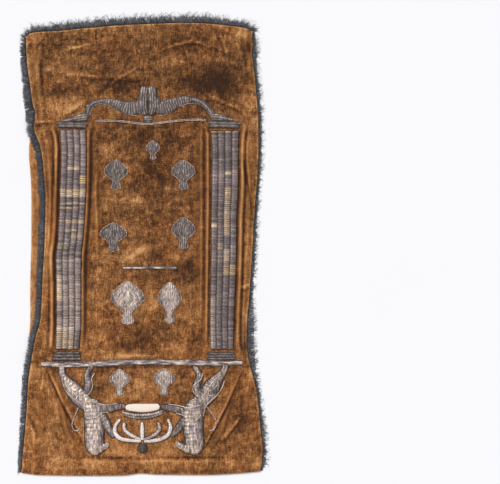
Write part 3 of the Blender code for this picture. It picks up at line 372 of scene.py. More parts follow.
# Bars of gilt or bright thread on the shafts: first and last reed from the left, heights, and shares.
LEFT_BANDS = listed(Band, (
    (2, 3, 149, 143, 0.9, 0.5), (4, 4, 132, 116, 1.0, 0.4), (1, 4, 106, 91, 0.75, 0.5),
    (1, 4, 81, 77, 0.8, 0.4), (1, 3, 72, 68, 0.7, 0.3), (2, 4, 47, 42, 0.6, 0.3), (3, 4, 22, 14, 0.5, 0.2),
    (1, 4, -26, -160, 0.05, 0.5), (1, 1, -57, -105, 0.6, 0.4), (1, 3, -155, -197, 0.5, 0.6),
    (2, 3, 30, 26, 0.5, 0.3), (1, 2, 4, -6, 0.4, 0.2),
))
RIGHT_BANDS = listed(Band, (
    (1, 4, 219, 214, 0.8, 0.3), (3, 3, 139, 134, 0.9, 0.4), (3, 3, 110, 60, 0.65, 0.3),
    (3, 3, 60, 19, 0.6, 0.3), (1, 1, 42, 34, 0.5, 0.8), (3, 4, -38, -57, 0.7, 0.2),
    (1, 1, -100, -197, 0.1, 0.55), (2, 2, 5, -8, 0.4, 0.2), (3, 3, -8, -30, 0.6, 0.3),
))
BAND_SPILL = 1.5
BAND_BLEND = 2.5
BAND_LIGHT = 0.4
GILT_EVEN = 0.55
LIGHT_EVEN = 0.6

# Capitals and bases as flat ribbed blocks, one limb for each moulding.
COLUMN_ENDS = {
    "column_capital_left": grouped(Section, (
        ((-167, 231.2, 2.5, 1.8), (-137, 230.4, 2.6, 2.0), (-106.5, 229.4, 2.5, 1.8)),
        ((-163, 226.2, 3.2, 2.4), (-136, 225.6, 3.3, 2.8), (-110, 224.8, 3.2, 2.4)),
    )),
    "column_capital_right": grouped(Section, (
        ((121.5, 232, 2.7, 1.8), (153, 231.3, 2.8, 2.0), (184, 230.5, 2.7, 1.8)),
        ((125, 226.4, 3.6, 2.4), (153, 226, 3.7, 2.8), (181, 225.4, 3.6, 2.4)),
    )),
    "column_base_left": grouped(Section, (
        ((-166, -205, 2.6, 2.2), (-145, -204.8, 2.8, 2.6), (-122, -204.6, 2.6, 2.2)),
        ((-170, -210.3, 2.7, 2.4), (-145, -210.2, 2.9, 2.8), (-121, -210, 2.7, 2.4)),
        ((-175, -216, 2.9, 2.4), (-146, -216, 3.0, 2.8), (-119.5, -215.6, 2.9, 2.4)),
    )),
    "column_base_right": grouped(Section, (
        ((122, -206.6, 2.2, 2.2), (148, -206.4, 2.4, 2.6), (171, -206.4, 2.2, 2.2)),
        ((121, -211.2, 2.3, 2.4), (148, -211, 2.5, 2.8), (173, -211, 2.3, 2.4)),
        ((120.5, -215.6, 2.2, 2.2), (148, -215.6, 2.3, 2.6), (174.5, -215.4, 2.2, 2.2)),
    )),
}
# The shell's halves and shoulders, then the broad wings, knob and scrolls.
PEDIMENT = {
    "pediment_shell": grouped(Section, (
        ((-7.5, 249, 5, 2.0), (-8.5, 262, 6.6, 2.8), (-7, 275, 5.4, 2.6), (-4, 284, 2.6, 1.8)),
        ((26, 249, 5, 2.0), (27, 262, 6.4, 2.8), (25, 275, 5.4, 2.6), (22, 284, 2.6, 1.8)),
        ((3, 246, 5, 2.4), (-1, 262, 8.8, 3.8), (-0.6, 281, 9.0, 4.0), (0.6, 293, 8.4, 3.4),
         (1.6, 301.5, 7.0, 2.6)),
        ((13, 246, 5, 2.4), (17, 262, 8.8, 3.8), (16.6, 281, 9.0, 4.0), (15.4, 293, 8.4, 3.4),
         (14.4, 301.5, 7.0, 2.6)),
    )),
    "pediment_wing_left": grouped(Section, (
        ((-9, 260.5, 14.2, 2.8), (-20, 259.5, 13.4, 2.8), (-33, 260, 11.4, 2.8), (-49, 266, 9.4, 2.6),
         (-65, 271.5, 6.4, 2.4), (-80, 272.5, 3.8, 2.0), (-91, 269.5, 3.4, 1.6)),
    )),
    "pediment_wing_right": grouped(Section, (
        ((27, 259.5, 13.6, 2.8), (38, 260.5, 13.2, 2.8), (49, 264.5, 12.4, 2.8), (61, 270, 9.8, 2.6),
         (77, 275, 7.8, 2.4), (90, 275.5, 6.0, 2.0)),
    )),
    "pediment_knob": grouped(Section, (
        ((-1, 237.5, 4.2, 1.6), (4, 238.6, 6.4, 3.0), (12, 238.6, 6.4, 3.0), (17, 237.5, 4.2, 1.6)),
    )),
    "pediment_scroll_left": grouped(Section, (
        ((-86, 272.5, 3.8, 1.8), (-95, 269.5, 4.2, 2.4), (-103, 262, 4.8, 3.0), (-107, 251.5, 5.2, 2.6),
         (-108.5, 241, 5.0, 2.0)),
        ((-155, 235.2, 1.4, 1.0), (-138, 238, 3.8, 1.6), (-122, 241.5, 6.2, 2.2), (-106, 243.5, 7.2, 2.2)),
        ((-110, 262, 2.4, 2.2), (-106, 264, 3.0, 3.2), (-101, 265, 2.4, 2.2)),
    )),
    "pediment_scroll_right": grouped(Section, (
        ((90, 277.5, 4.4, 1.8), (103, 273.5, 5.0, 2.6), (115, 266, 5.2, 3.0), (124.5, 255.5, 5.4, 2.6),
         (130, 243, 5.2, 2.0)),
        ((126, 243.5, 7.4, 2.2), (140, 243, 6.8, 2.2), (155, 240.5, 4.4, 1.6), (170, 237.5, 1.6, 1.0)),
    )),
}
# Pale cords along the lower rims of the wings and round the shell.
PEDIMENT_RIMS = grouped(End, (
    ((-12, 245.4), (-30, 247.4), (-49, 255.4), (-65, 264.4), (-80, 268), (-92, 265.4), (-99.5, 257),
     (-102.5, 246)),
    ((29, 245.4), (40, 247), (51, 252), (62, 259.8), (77, 266.6), (91, 269), (106, 266.5), (118, 257),
     (125.5, 246)),
))
RIM_RADIUS = 0.75
RIM_LEVEL = 1.0
CORDS = {
    "entablature_cord": listed(End, (
        (-92, 235), (-66, 236), (-36, 234), (-10, 230.6), (8, 229.8), (28, 231.4), (60, 235.5), (96, 238),
        (118, 236.5),
    )),
    "lion_tail_left": listed(End, (
        (-124.5, -309), (-130, -322), (-135, -334), (-136.2, -343), (-132.5, -351), (-127, -353),
        (-122.5, -350.5),
    )),
    "lion_tail_right": listed(End, (
        (118.5, -306), (127, -317), (134.5, -328), (137, -339), (134.5, -348), (129.5, -352), (124, -351),
    )),
}
# Beaded cords: the strands' offsets and radius, then the bead's least and added size, length and level.
TWIN_CORD = ((-1.1, 1.1), 0.72)
SINGLE_CORD = ((0.0,), 1.1)
BEAD_LEAST = 0.75
BEAD_MORE = 0.35
BEAD_LONG = 2.4
BEAD_STEP = 0.6
BEAD_SIDES = 8
BEAD_LEVEL = 1.1
BARS = {
    "lower_bar": grouped(Section, (
        ((-195, -225.5, 4.6, 1.6), (-150, -227.5, 5.0, 2.0), (-100, -226, 5.2, 2.0),
         (-50, -223.5, 5.2, 2.0), (0, -222, 5.2, 2.0), (50, -222.5, 5.2, 2.0), (100, -224, 5.2, 2.0),
         (150, -225, 5.0, 2.0), (187, -223, 4.4, 1.6)),
    )),
    "middle_dash": grouped(Section, (
        ((-40, -43.5, 1.6, 1.0), (-10, -43.5, 2.0, 1.2), (25, -43, 2.0, 1.2), (62, -43.5, 1.6, 1.0)),
    )),
}
LIONS = {
    "lion_left": grouped(Section, (
        ((-156.5, -228, 5, 1.8), (-154.5, -245, 6.2, 2.4), (-147, -258, 9.6, 3.4), (-137, -271, 14, 4.2),
         (-126, -285, 16, 4.2), (-113, -298, 15, 3.8), (-101, -310, 12, 3.0)),
        ((-98, -229.5, 4.2, 1.8), (-106, -241, 5.4, 2.4), (-106.5, -251, 6.6, 2.8), (-105, -262, 7, 2.8),
         (-108.5, -275, 6.4, 2.8), (-115, -288, 5, 2.0)),
        ((-84, -322, 10, 3.2), (-73, -337, 8.6, 3.0), (-64.5, -353, 6, 2.4), (-57, -366, 3.6, 1.8)),
        ((-99, -292, 9, 3.0), (-97, -306, 17, 4.4), (-94.5, -330, 18.5, 4.8), (-94, -357, 18, 4.8),
         (-94, -376, 17.5, 4.4), (-94.5, -389, 14.5, 3.6), (-97, -399, 7, 2.2)),
        ((-96, -304, 9.5, 3.6), (-80, -309, 8.4, 3.2), (-64, -310, 6.6, 2.8), (-48, -307, 5.4, 2.2),
         (-35, -305.5, 4.8, 1.8)),
        ((-98, -387, 9, 3.4), (-85, -387, 8.4, 3.6), (-74, -381, 4.6, 2.6), (-69, -376, 3, 1.8)),
    )),
    "lion_right": grouped(Section, (
        ((156, -227.5, 4.8, 1.8), (151, -240, 6, 2.4), (142, -252, 9, 3.2), (132, -265, 14, 4.2),
         (121, -282, 16.5, 4.2), (107, -299, 15, 3.8), (98, -311, 12, 3.0)),
        ((95, -229.5, 4.2, 1.8), (103, -241, 5.4, 2.4), (105.5, -251, 6.6, 2.8), (101.5, -262, 7, 2.8),
         (100, -273, 6.4, 2.8), (106, -288, 5, 2.0)),
        ((80, -330, 9, 3.2), (70, -342, 7.4, 2.8), (60.5, -354, 5.4, 2.4), (52.5, -363.5, 3.4, 1.8)),
        ((98, -292, 9, 3.0), (94.5, -310, 18, 4.4), (93, -334, 19.5, 4.8), (94.5, -357, 18.5, 4.8),
         (96.5, -376, 17.5, 4.4), (96.5, -389, 14.5, 3.6), (98.5, -398.5, 7, 2.2)),
        ((92, -325, 9.5, 3.6), (79, -318.5, 8.4, 3.2), (65, -313.5, 7, 2.8), (50, -309.5, 5.6, 2.2),
         (33, -307, 4.8, 1.8)),
        ((94, -387, 9, 3.4), (80, -386, 8.4, 3.6), (69, -379.5, 4.6, 2.6), (63.5, -374.5, 3, 1.8)),
    )),
}
# How light each limb is: haunch, inner leg, far arm, trunk, near arm and head.
LION_TONES = {
    "lion_left": (0.0, -0.28, -0.3, 0.04, -0.24, 0.06),
    "lion_right": (-0.1, -0.32, -0.34, -0.06, -0.3, -0.02),
}
# Fine cords laid over the lions: swirls on the haunches, the ribs' lines and curls under the chin.
LION_CORDS = {
    "lion_left_cords": grouped(End, (
        ((-154, -262), (-147, -277), (-133, -291), (-119, -301), (-112, -312), (-110, -326)),
        ((-150, -250), (-138, -257), (-127, -268), (-123, -281), (-114, -291)),
        ((-141, -268), (-134, -276), (-127, -276), (-127, -284), (-135, -284)),
        ((-93, -243), (-99, -253), (-97, -266), (-101, -278), (-110, -288)),
        ((-110, -300), (-98, -297), (-85, -301), (-70, -303), (-50, -301)),
        ((-108, -318), (-100, -326), (-88, -326), (-80, -319), (-66, -317)),
        ((-80, -383), (-75, -387), (-70, -384), (-67, -378), (-71, -375)),
    )),
    "lion_right_cords": grouped(End, (
        ((153, -258), (148, -272), (136, -288), (124, -298), (116, -310), (113, -326)),
        ((146, -247), (134, -256), (125, -268), (118, -280), (108, -290)),
        ((139, -266), (131, -274), (124, -276), (123, -285), (131, -285)),
        ((112, -243), (108, -255), (95, -266), (94, -278), (103, -288)),
        ((110, -303), (98, -306), (84, -309), (66, -305), (46, -302)),
        ((108, -322), (99, -333), (86, -332), (76, -324), (62, -319)),
        ((74, -384), (69, -386), (64, -382), (61, -376), (65, -373)),
    )),
}
LION_CORD_RADIUS = 1.05
CROWN = {
    "crown_patch": grouped(Section, (
        ((-35.5, -308.5, 2.4, 0.8), (-29, -308.5, 6.0, 1.2), (-14, -309, 7.8, 1.6), (-3, -309.5, 8.2, 1.6),
         (10, -309, 7.8, 1.6), (23, -307.5, 6.4, 1.2), (30, -306, 4.4, 0.8)),
    )),
    "crown_band": grouped(Section, (
        ((-42, -317.5, 2.2, 1.2), (-24, -321.5, 2.6, 1.8), (-3, -323, 2.8, 2.0), (17, -320.8, 2.6, 1.8),
         (37, -314.5, 2.2, 1.2)),
        ((-40, -322, 2.0, 1.0), (-24, -326.6, 2.4, 1.6), (-3, -328.6, 2.6, 1.8), (17, -326, 2.4, 1.6),
         (36, -319, 2.0, 1.0)),
    )),
    "crown_arches": grouped(Section, (
        ((-45, -331, 2.6, 1.8), (-54, -343, 3.6, 2.4), (-54.5, -357, 4.2, 2.6), (-44, -367.5, 4.2, 2.6),
         (-24, -371, 3.6, 2.4), (-5, -372.5, 2.8, 2.0)),
        ((45, -330, 2.6, 1.8), (50.5, -344, 3.6, 2.4), (46.5, -359, 4.2, 2.6), (33, -368, 4.2, 2.6),
         (14, -372, 3.6, 2.4), (0, -372.5, 2.8, 2.0)),
        ((-37, -337, 3.0, 2.2), (-36.5, -350, 3.8, 2.6), (-24, -361, 3.8, 2.6), (-5, -370, 2.8, 2.0)),
        ((27, -336, 3.0, 2.2), (29.5, -350, 3.8, 2.6), (18, -361.5, 3.8, 2.6), (-1, -370, 2.8, 2.0)),
        ((-3.5, -336, 2.6, 2.2), (-3, -353, 4.4, 3.0), (-3, -371, 3.0, 2.2)),
    )),
    "crown_bead": grouped(Section, (
        ((-3, -377.5, 4.5, 1.6), (-3, -381, 8.2, 4.0), (-2.5, -388, 8.8, 4.6), (-2, -395, 5.0, 2.0)),
    )),
}
# How light the band's two rows are, and the arches: outer left and right, inner left and right, middle.
CROWN_TONES = {
    "crown_band": (0.1, -0.12),
    "crown_arches": (0.12, 0.06, 0.0, -0.28, 0.1),
}
MOTIFS = listed(Motif, (
    ("motif_top", 17, 180, 36, 24), ("motif_upper_left", -53, 133, 56, 42),
    ("motif_upper_right", 75, 133, 56, 42), ("motif_middle_left", -58, 15, 54, 48),
    ("motif_middle_right", 75, 22, 60, 42), ("motif_large_left", -31, -110, 82, 60),
    ("motif_large_right", 49, -110, 78, 42), ("motif_low_left", -46, -261, 50, 36),
    ("motif_low_right", 38, -260, 50, 38),
))
MOTIF_STATIONS = listed(Station, (
    (-0.5, 0.06), (-0.42, 0.2), (-0.2, 0.14), (0.05, 0.5), (0.26, 0.44), (0.42, 0.2), (0.5, 0.05),
))
LIGHT_MOTIFS = ("motif_large_right", "motif_large_left", "motif_low_left", "motif_low_right")
MOTIF_RISE = 2.6
MOTIF_LEAST = 0.35

# The fringe's heading strip: its section as shares of width and height, and the knots along it.
STRIP_GAP = 0.5
STRIP_WIDTH = 3.0
STRIP_THICK = 1.7
STRIP_INSET = 1.0
STRIP_START = 0.4
STRIP_STEP = 0.9
STRIP_SECTION = ((0.0, 0.15), (0.1, 1.0), (0.5, 1.1), (0.92, 0.9), (1.0, 0.1))
KNOT_PITCH = 2.7
KNOT_DEPTH = 0.14
# Painted highlight on the knots' raised tops.
KNOT_HIGHLIGHT = 0.08
HEM_POINTS = 500
SIDE_POINTS = 900
CORNER_INSET = 3.0
CORNER_REACH = 12.0
# Each fringe: the seed of its draws, the lock length from which its silk lies full, the ends that fan out
# round a corner (as a share of its run, and which way), then its dense and its loose layer. A layer has its
# strands' spacing, shortest and longest as shares of the lock, thickness, paleness, rings, gaps and tangle.
FRINGES = {
    "side_fringe_left": Fringe(
        3, 11.0, ((1, 1.0),), Tuft(0.28, 0.88, 1.36, 1.25, 0.12, 4, 0.0, 0.28),
        Tuft(0.7, 0.5, 1.45, 1.15, 0.26, 6, 0.45, 0.55),
    ),
    "side_fringe_right": Fringe(
        5, 10.5, ((0, -1.0),), Tuft(0.46, 0.32, 0.66, 1.25, 0.12, 4, 0.0, 0.28),
        Tuft(0.7, 0.5, 1.45, 1.15, 0.26, 6, 0.9, 0.55),
    ),
    "hem_fringe": Fringe(
        7, 30.0, ((0, -1.0), (1, 1.0)), Tuft(0.3, 0.42, 0.92, 1.25, 0.12, 4, 0.0, 0.28),
        Tuft(0.7, 0.5, 1.45, 1.15, 0.26, 6, 0.25, 0.55),
    ),
}
# Where the silk lies full: over how much more lock length, and how far its strands agree and lie straight.
FULL_SPAN = 4.0
FULL_SHARE = 1.0
FULL_PULL = 0.75
FULL_CALM = 0.6
# Clumps and waves of strands, their roots in the strip, and how they differ in loft, tone and thickness.
CLUMP_PITCH = 9.0
CLUMP_LONGER = 0.2
CLUMP_SEED = 20
WAVE_PITCH = 7.0
WAVE_WIDE = 1.4
WAVE_SEED = 31
ROOT_SHARE = 0.55
CURL_SHARE = 0.25
STRAND_LOFT = 0.7
PALE_SPREAD = 0.42
PALE_CLUMP = 0.5
THINNEST = 0.7
THICKEST = 1.3
# One strand: how much its curl shortens it, how far it turns, its arch over the floor and its taper.
CURL_DRAW = 0.12
CURL_TURN = 5.2
STRAND_ARCH = 0.9
STRAND_SEAT = 0.35
ARCH_POWER = 1.5
STRAND_TAPER = 0.7
STRAND_SIDES = 3

# Limbs: points across, row spacing, the profile's power, and how their ends close.
ARC_POINTS = 17
ROW_STEP = 0.9
PROFILE_POWER = 0.62
# How tightly the painted shade of the edge mark keeps to a limb's sloping sides.
EDGE_SHADE_POWER = 4
LIMB_FINER = 4
LEAST_ROWS = 8
LEAST_HALF = 0.15
LEAST_ROUND = 0.02
ROUND_EASE = 0.8
BLUNT_EASE = 0.25
LAYER_LIFT = 0.04
# Cords laid round the limbs and over them: spacing, offset, lift, twist and sides.
EDGING_STEP = 1.6
EDGING_OUT = 0.6
EDGING_LIFT = 0.8
EDGING_TWIST = 3.1
EDGING_SIDES = 5
EDGING_LEAST = 0.05
TOP_STEP = 2.0
CORD_FINER = 3
CORD_LIFT = 0.6
CORD_TWIST = 2.4
CORD_SIDES = 6

# Textures of the finishes: scale across and along the cloth in each metre, detail, roughness and weight.
VELVET_STREAKS = listed(Texture, (
    (440, 70, 3.0, 0.62, 0.7), (90, 400, 3.0, 0.6, 0.4), (620, 520, 2.0, 0.7, 0.36),
    (120, 92, 4.0, 0.7, 0.7),
))
VELVET_CURLS = listed(Curl, (
    (104, 78, 1.9, 14.0, 0.34), (62, 118, 1.5, 15.0, 0.24), (84, 58, 2.2, 12.0, -0.3),
))
CURL_EDGE = 0.6
VELVET_CALM = 0.65
VELVET_RELIEF = Texture(160, 90, 3.0, 0.6, 0.6)
SILK_LOCKS = Texture(170, 260, 2.0, 0.7, 1.5)
SILK_STRANDS = Texture(700, 700, 2.0, 0.6, 0.5)
SILK_PALE = 0.7
SILK_TIP = 0.2
COUCHED_FLECKS = Texture(220, 1100, 2.0, 0.7, 1.3)
COUCHED_SPECKS = Texture(500, 500, 2.0, 0.7, 0.6)
COUCHED_HUE = Texture(40, 160, 2.0, 0.6, 0.3)
# Painted shade in the grooves between laid threads and on the reeds' sides.
COUCHED_GROOVE_SHADE = 0.1
COUCHED_EDGE_SHADE = 0.5
PADDED_BROAD = Texture(70, 70, 2.0, 0.6, 0.9)
PADDED_HUE = 0.5
# Painted shade on a padded limb's sloping sides.
PADDED_EDGE_SHADE = 0.6
WEAVE_SCALE = 300.0
WEAVE_LIFT = 0.25
# Painted shade along the patch's rims.
WEAVE_EDGE_SHADE = 0.5
PAPER_GRAIN = Texture(3, 3, 2.0, 0.6)

# Padded finishes: lightness, scale of the flecks across and along, their contrast, share of tint, darkness
# of the painted shade in the gaps between threads, the relief's depth in metres, metal share and roughness.
WORKS = {
    "capital_thread": Work(0.34, 300, 800, 1.6),
    "bar_thread": Work(0.7, 50, 260, 4.2, 0.45, depth=0.001),
    # The dark edging finishes, here and below, paint the shade round each raised piece's foot.
    "edging_thread": Work(0.3, 500, 500, 1.5, 0.1),
    "pediment_thread": Work(0.58, 500, 140, 1.8, gaps=1.0, depth=0.001),
    "pediment_edging": Work(0.12, 500, 500, 1.2, 0.1),
    "pediment_rim": Work(0.66, 400, 400, 1.6, 0.6),
    "lion_thread": Work(0.76, 300, 70, 2.1, 0.4, depth=0.0009, rough=0.34),
    "lion_edging": Work(0.1, 500, 500, 1.5, 0.1),
    "lion_cord_thread": Work(0.92, 400, 400, 1.2, 0.5, metallic=0.1),
    "crown_satin": Work(0.98, 420, 420, 2.4, 0.15, metallic=0.1, rough=0.26),
    "crown_band_thread": Work(0.66, 700, 200),
    "bead_thread": Work(0.08, 500, 500, 1.2, 0.15),
    "crown_edging": Work(0.12, 500, 500, 1.2, 0.1),
    "cord_thread": Work(0.82, 400, 400, 2.0, 0.5),
    "bud_satin_dark": Work(0.5, 600, 120, 2.6, gaps=0.6, depth=0.001),
    "bud_satin_light": Work(0.9, 600, 120, 2.2, gaps=0.4, depth=0.001),
    "bud_edging": Work(0.8, 400, 400, 1.4, 0.8, metallic=0.1),
}

# The key light's tilt in degrees, the room's colour, the floor's cooler specks and the camera's sensor.
SUN_TILT = (-34.0, -30.0)
ROOM_COLOUR = (1.0, 0.99, 1.0, 1)
FLOOR_COOL = 0.985
SENSOR_WIDE = 36.0


def linear(red, green, blue):
    """Display colour from 0 to 255 as scene-linear numbers."""
    share = np.array([red, green, blue]) / 255
    return tuple(np.where(share <= 0.04045, share / 12.92, ((share + 0.055) / 1.055) ** 2.4).tolist())


def smooth(stations, values, at):
    """A monotone cubic through the values: it rounds the corners and never overshoots a row."""
    order = np.argsort(stations)
    x = np.asarray(stations, float)[order]
    v = np.asarray(values, float)[order]
    step = np.diff(x)
    slope = np.diff(v) / step
    tangent = np.zeros(len(x))
    before, after = slope[:-1], slope[1:]
    turning = before * after <= 0
    safe_before = np.where(turning, 1, before)
    safe_after = np.where(turning, 1, after)
    near = 2 * step[1:] + step[:-1]
    far = step[1:] + 2 * step[:-1]
    tangent[1:-1] = np.where(turning, 0, (near + far) / (near / safe_before + far / safe_after))
    tangent[0], tangent[-1] = slope[0], slope[-1]
    at = np.clip(at, x[0], x[-1])
    i = np.clip(np.searchsorted(x, at) - 1, 0, len(step) - 1)
    t = (at - x[i]) / step[i]
    return (
        v[i] * (1 + 2 * t) * (1 - t) ** 2
        + tangent[i] * step[i] * t * (1 - t) ** 2
        + v[i + 1] * t**2 * (3 - 2 * t)
        + tangent[i + 1] * step[i] * t**2 * (t - 1)
    )


def column_of(rows, along, value, at):
    return smooth([getattr(row, along) for row in rows], [getattr(row, value) for row in rows], at)


def bump(distance, half):
    """A round-topped ridge: one minus the square of the share, squared."""
    share = np.clip(np.abs(distance) / half, 0, 1)
    return (1 - share**2) ** 2


def step_up(distance, width):
    t = np.clip(distance / width, 0, 1)
    return t * t * (3 - 2 * t)


def noise(x, y, pitch_x, pitch_y, seed):
    """Random values from -1 to 1 on a lattice of that pitch, blended smoothly between its corners."""
    table = np.random.default_rng(seed).uniform(-1, 1, (97, 89))
    u, v = x / pitch_x, y / pitch_y
    i, j = np.floor(u).astype(int), np.floor(v).astype(int)
    s, t = u - i, v - j
    s, t = s * s * (3 - 2 * s), t * t * (3 - 2 * t)
    i, j = i % 96, j % 88
    near = table[i, j] * (1 - s) + table[i + 1, j] * s
    far = table[i, j + 1] * (1 - s) + table[i + 1, j + 1] * s
    return near * (1 - t) + far * t


def uneven(x, y, grains):
    """The sum of the grains' random values at each place."""
    return sum(each.share * noise(x, y, each.across, each.along, each.seed) for each in grains)


def run_along(places):
    """How far along a line of places each one lies."""
    return np.concatenate([[0], np.cumsum(np.hypot(*np.diff(places[:, :2], axis=0).T))])


def swell(x, y):
    """How far the front lies above its lowest level where it has no fold."""
    wave = np.sin(x / SWELL_ACROSS) * np.cos(y / SWELL_LONG)
    kink = bump(x - KINK_X, KINK_REACH) * bump(y - KINK_Y, KINK_REACH)
    return SWELL + SWELL_WAVE * wave + KINK_RISE * kink


def crease_rise(crease, x, y):
    """A ridge along a two-piece line that fades out towards its ends."""
    rise = np.zeros_like(x)
    legs = (
        (crease.x0, crease.y0, crease.x1, crease.y1, 0, 1),
        (crease.x1, crease.y1, crease.x2, crease.y2, 1, 2),
    )
    for x0, y0, x1, y1, start, end in legs:
        length = math.hypot(x1 - x0, y1 - y0)
        along = ((x - x0) * (x1 - x0) + (y - y0) * (y1 - y0)) / length**2
        held = np.clip(along, 0, 1)
        away = np.hypot(x - x0 - held * (x1 - x0), y - y0 - held * (y1 - y0))
        place = start + held * (end - start)
        fade = np.sqrt(bump(place - 1, CREASE_FADE))
        rise = np.maximum(rise, crease.rise * bump(away, crease.half) * fade)
    return rise


def highest_crease(x, y, creases):
    return np.max([crease_rise(crease, x, y) for crease in creases], axis=0)


def fold_rise(x, y):
    rise = highest_crease(x, y, CREASES)
    for rows in FOLDS.values():
        middle = column_of(rows, "y", "x", y)
        rise = np.maximum(rise, column_of(rows, "y", "rise", y) * bump(x - middle, FOLD_HALF))
    return rise


def side_x(rows, y):
    return column_of(rows, "y", "edge", y)


def end_y(rows, x):
    return column_of(rows, "x", "y", x)


def leant(y, hem, top):
    """Rows near the ends lean towards the cloth's own hem and top lines."""
    y = y + (hem - HEM_ROW) * step_up(y - HEM_LEAN, HEM_ROW - HEM_LEAN)
    return y + (top - TOP_ROW) * step_up(TOP_LEAN - y, TOP_LEAN - TOP_ROW)


def cloth_plan(across, along, beyond=False):
    """Plan positions on a grid between the two sides, whose outer rows lean to the ends."""
    rows = np.linspace(TOP_ROW, HEM_ROW, along)
    left = side_x(LEFT_SIDE, rows)
    if beyond:
        left = left - column_of(LEFT_SIDE, "y", "beyond", rows)
    right = side_x(RIGHT_SIDE, rows)
    share = np.linspace(0, 1, across)
    x = left[:, None] + share * (right - left)[:, None]
    y = np.repeat(rows[:, None], across, axis=1)
    return x, leant(y, end_y(HEM_END, x[-1]), end_y(TOP_END, x[0]))


def edge_distance(x, y):
    """How far a place lies inside the front panel's outline."""
    inside = np.minimum(x - side_x(LEFT_SIDE, y), side_x(RIGHT_SIDE, y) - x)
    return np.minimum(inside, np.minimum(end_y(HEM_END, x) - y, y - end_y(TOP_END, x)))


def front_heights(x, y):
    """The front panel's upper and under faces: the solid's folds, small creases and a crushed surface."""
    roll = step_up(edge_distance(x, y), ROLL_WIDTH)
    from_hem = end_y(HEM_END, x) - y
    hem = HEM_RISE * (1 - step_up(from_hem - HEM_DEPTH + HEM_STEP, HEM_STEP))
    folds = fold_rise(x, y)
    lift = (swell(x, y) + folds + hem) * roll
    extra = np.minimum(FOLD_SHARE * folds * roll, FOLD_MOST)
    fine = highest_crease(x, y, SMALL_CREASES) + uneven(x, y, CRUSH_GRAINS) - CRUSH_SINK
    upper = LEVEL + lift - ROLL_DROP * (1 - roll) + fine * roll
    under = LIFT + lift - extra + fine * roll * UNDER_CRUSH
    return upper, under


def velvet_top(x, y):
    return LEVEL + swell(x, y)


def in_frame(points):
    return (np.asarray(points, float) + (PLAN_X, PLAN_Y, 0)) * MM


def facing_out(points, quads, tris):
    """The faces, all turned over where they would face inwards."""
    flat = np.vstack([quads[:, :3], quads[:, [0, 2, 3]], tris])
    if np.linalg.det(points[flat] - points.mean(axis=0)).sum() < 0:
        return quads[:, ::-1], tris[:, ::-1]
    return quads, tris


def mesh_from(name, points, quads, tris, marks):
    """A mesh from whole arrays, facing outwards, with one float attribute for each entry of marks."""
    place = in_frame(points)
    quads, tris = facing_out(place, quads, tris)
    loops = np.concatenate([quads.ravel(), tris.ravel()]).astype(np.int32)
    starts = np.concatenate([
        np.arange(len(quads)) * 4, len(quads) * 4 + np.arange(len(tris)) * 3,
    ]).astype(np.int32)
    mesh = bpy.data.meshes.new(name)
    mesh.vertices.add(len(place))
    mesh.vertices.foreach_set("co", place.astype(np.float32).ravel())
    mesh.loops.add(len(loops))
    mesh.loops.foreach_set("vertex_index", loops)
    mesh.polygons.add(len(starts))
    mesh.polygons.foreach_set("loop_start", starts)
    mesh.update(calc_edges=True)
    mesh.validate()
    for key, values in marks.items():
        mark = mesh.attributes.new(key, "FLOAT", "POINT")
        mark.data.foreach_set("value", np.asarray(values, np.float32).ravel())
    mesh.shade_smooth()
    return mesh


def lay_piece(name, parts, finish, nodes=(), sewn=True):
    """Joins the parts, each (points, quads, tris, marks), into one object that rides on the mantle."""
    starts = np.cumsum([0, *(len(part[0]) for part in parts)])
    points = np.vstack([part[0] for part in parts])
    quads = np.vstack([part[1] + start for part, start in zip(parts, starts)])
    tris = np.vstack([part[2] + start for part, start in zip(parts, starts)])
    marks = {key: np.concatenate([np.ravel(part[3][key]) for part in parts]) for key in parts[0][3]}
    mesh = mesh_from(name, points, quads, tris, marks)
    mesh.materials.append(finish)
    obj = bpy.data.objects.new(name, mesh)
    bpy.context.scene.collection.objects.link(obj)
    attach(obj, BODY)
    if nodes:
        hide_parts(*nodes)
    if sewn:
        obj["sewn_on_front"] = True
    return obj


def closed_sheet(x, y, upper, under, marks):
    """Two grids one above the other, joined round their rim."""
    tall, wide = x.shape
    points = np.concatenate([
        np.stack([x, y, upper], axis=2).reshape(-1, 3), np.stack([x, y, under], axis=2).reshape(-1, 3),
    ])
    index = np.arange(tall * wide).reshape(tall, wide)
    corners = [index[:-1, :-1], index[:-1, 1:], index[1:, 1:], index[1:, :-1]]
    quads = np.stack(corners, axis=2).reshape(-1, 4)
    rim = np.concatenate([index[0, :], index[1:, -1], index[-1, -2::-1], index[-2:0:-1, 0]])
    after = np.roll(rim, -1)
    low = tall * wide
    wall = np.stack([rim, rim + low, after + low, after], axis=1)
    faces = np.vstack([quads, quads[:, ::-1] + low, wall])
    doubled = {key: np.concatenate([value.ravel(), value.ravel()]) for key, value in marks.items()}
    return points, faces, np.zeros((0, 3), int), doubled


def closed_loft(rings, marks):
    """Rings of points along a path, rows by ring by three, closed with a fan at each end."""
    rows, ring = rings.shape[:2]
    index = np.arange(rows * ring).reshape(rows, ring)
    turned = np.roll(index, -1, axis=1)
    quads = np.stack([index[:-1], turned[:-1], turned[1:], index[1:]], axis=2).reshape(-1, 4)
    start, end = rows * ring, rows * ring + 1
    first = np.stack([np.full(ring, start), turned[0], index[0]], axis=1)
    last = np.stack([np.full(ring, end), index[-1], turned[-1]], axis=1)
    points = np.vstack([rings.reshape(-1, 3), rings[0].mean(axis=0), rings[-1].mean(axis=0)])
    made = {}
    for key, value in marks.items():
        full = np.broadcast_to(value, (rows, ring))
        made[key] = np.concatenate([full.ravel(), [full[0].mean(), full[-1].mean()]])
    quads, tris = facing_out(points, quads, np.vstack([first, last]))
    return points, quads, tris, made


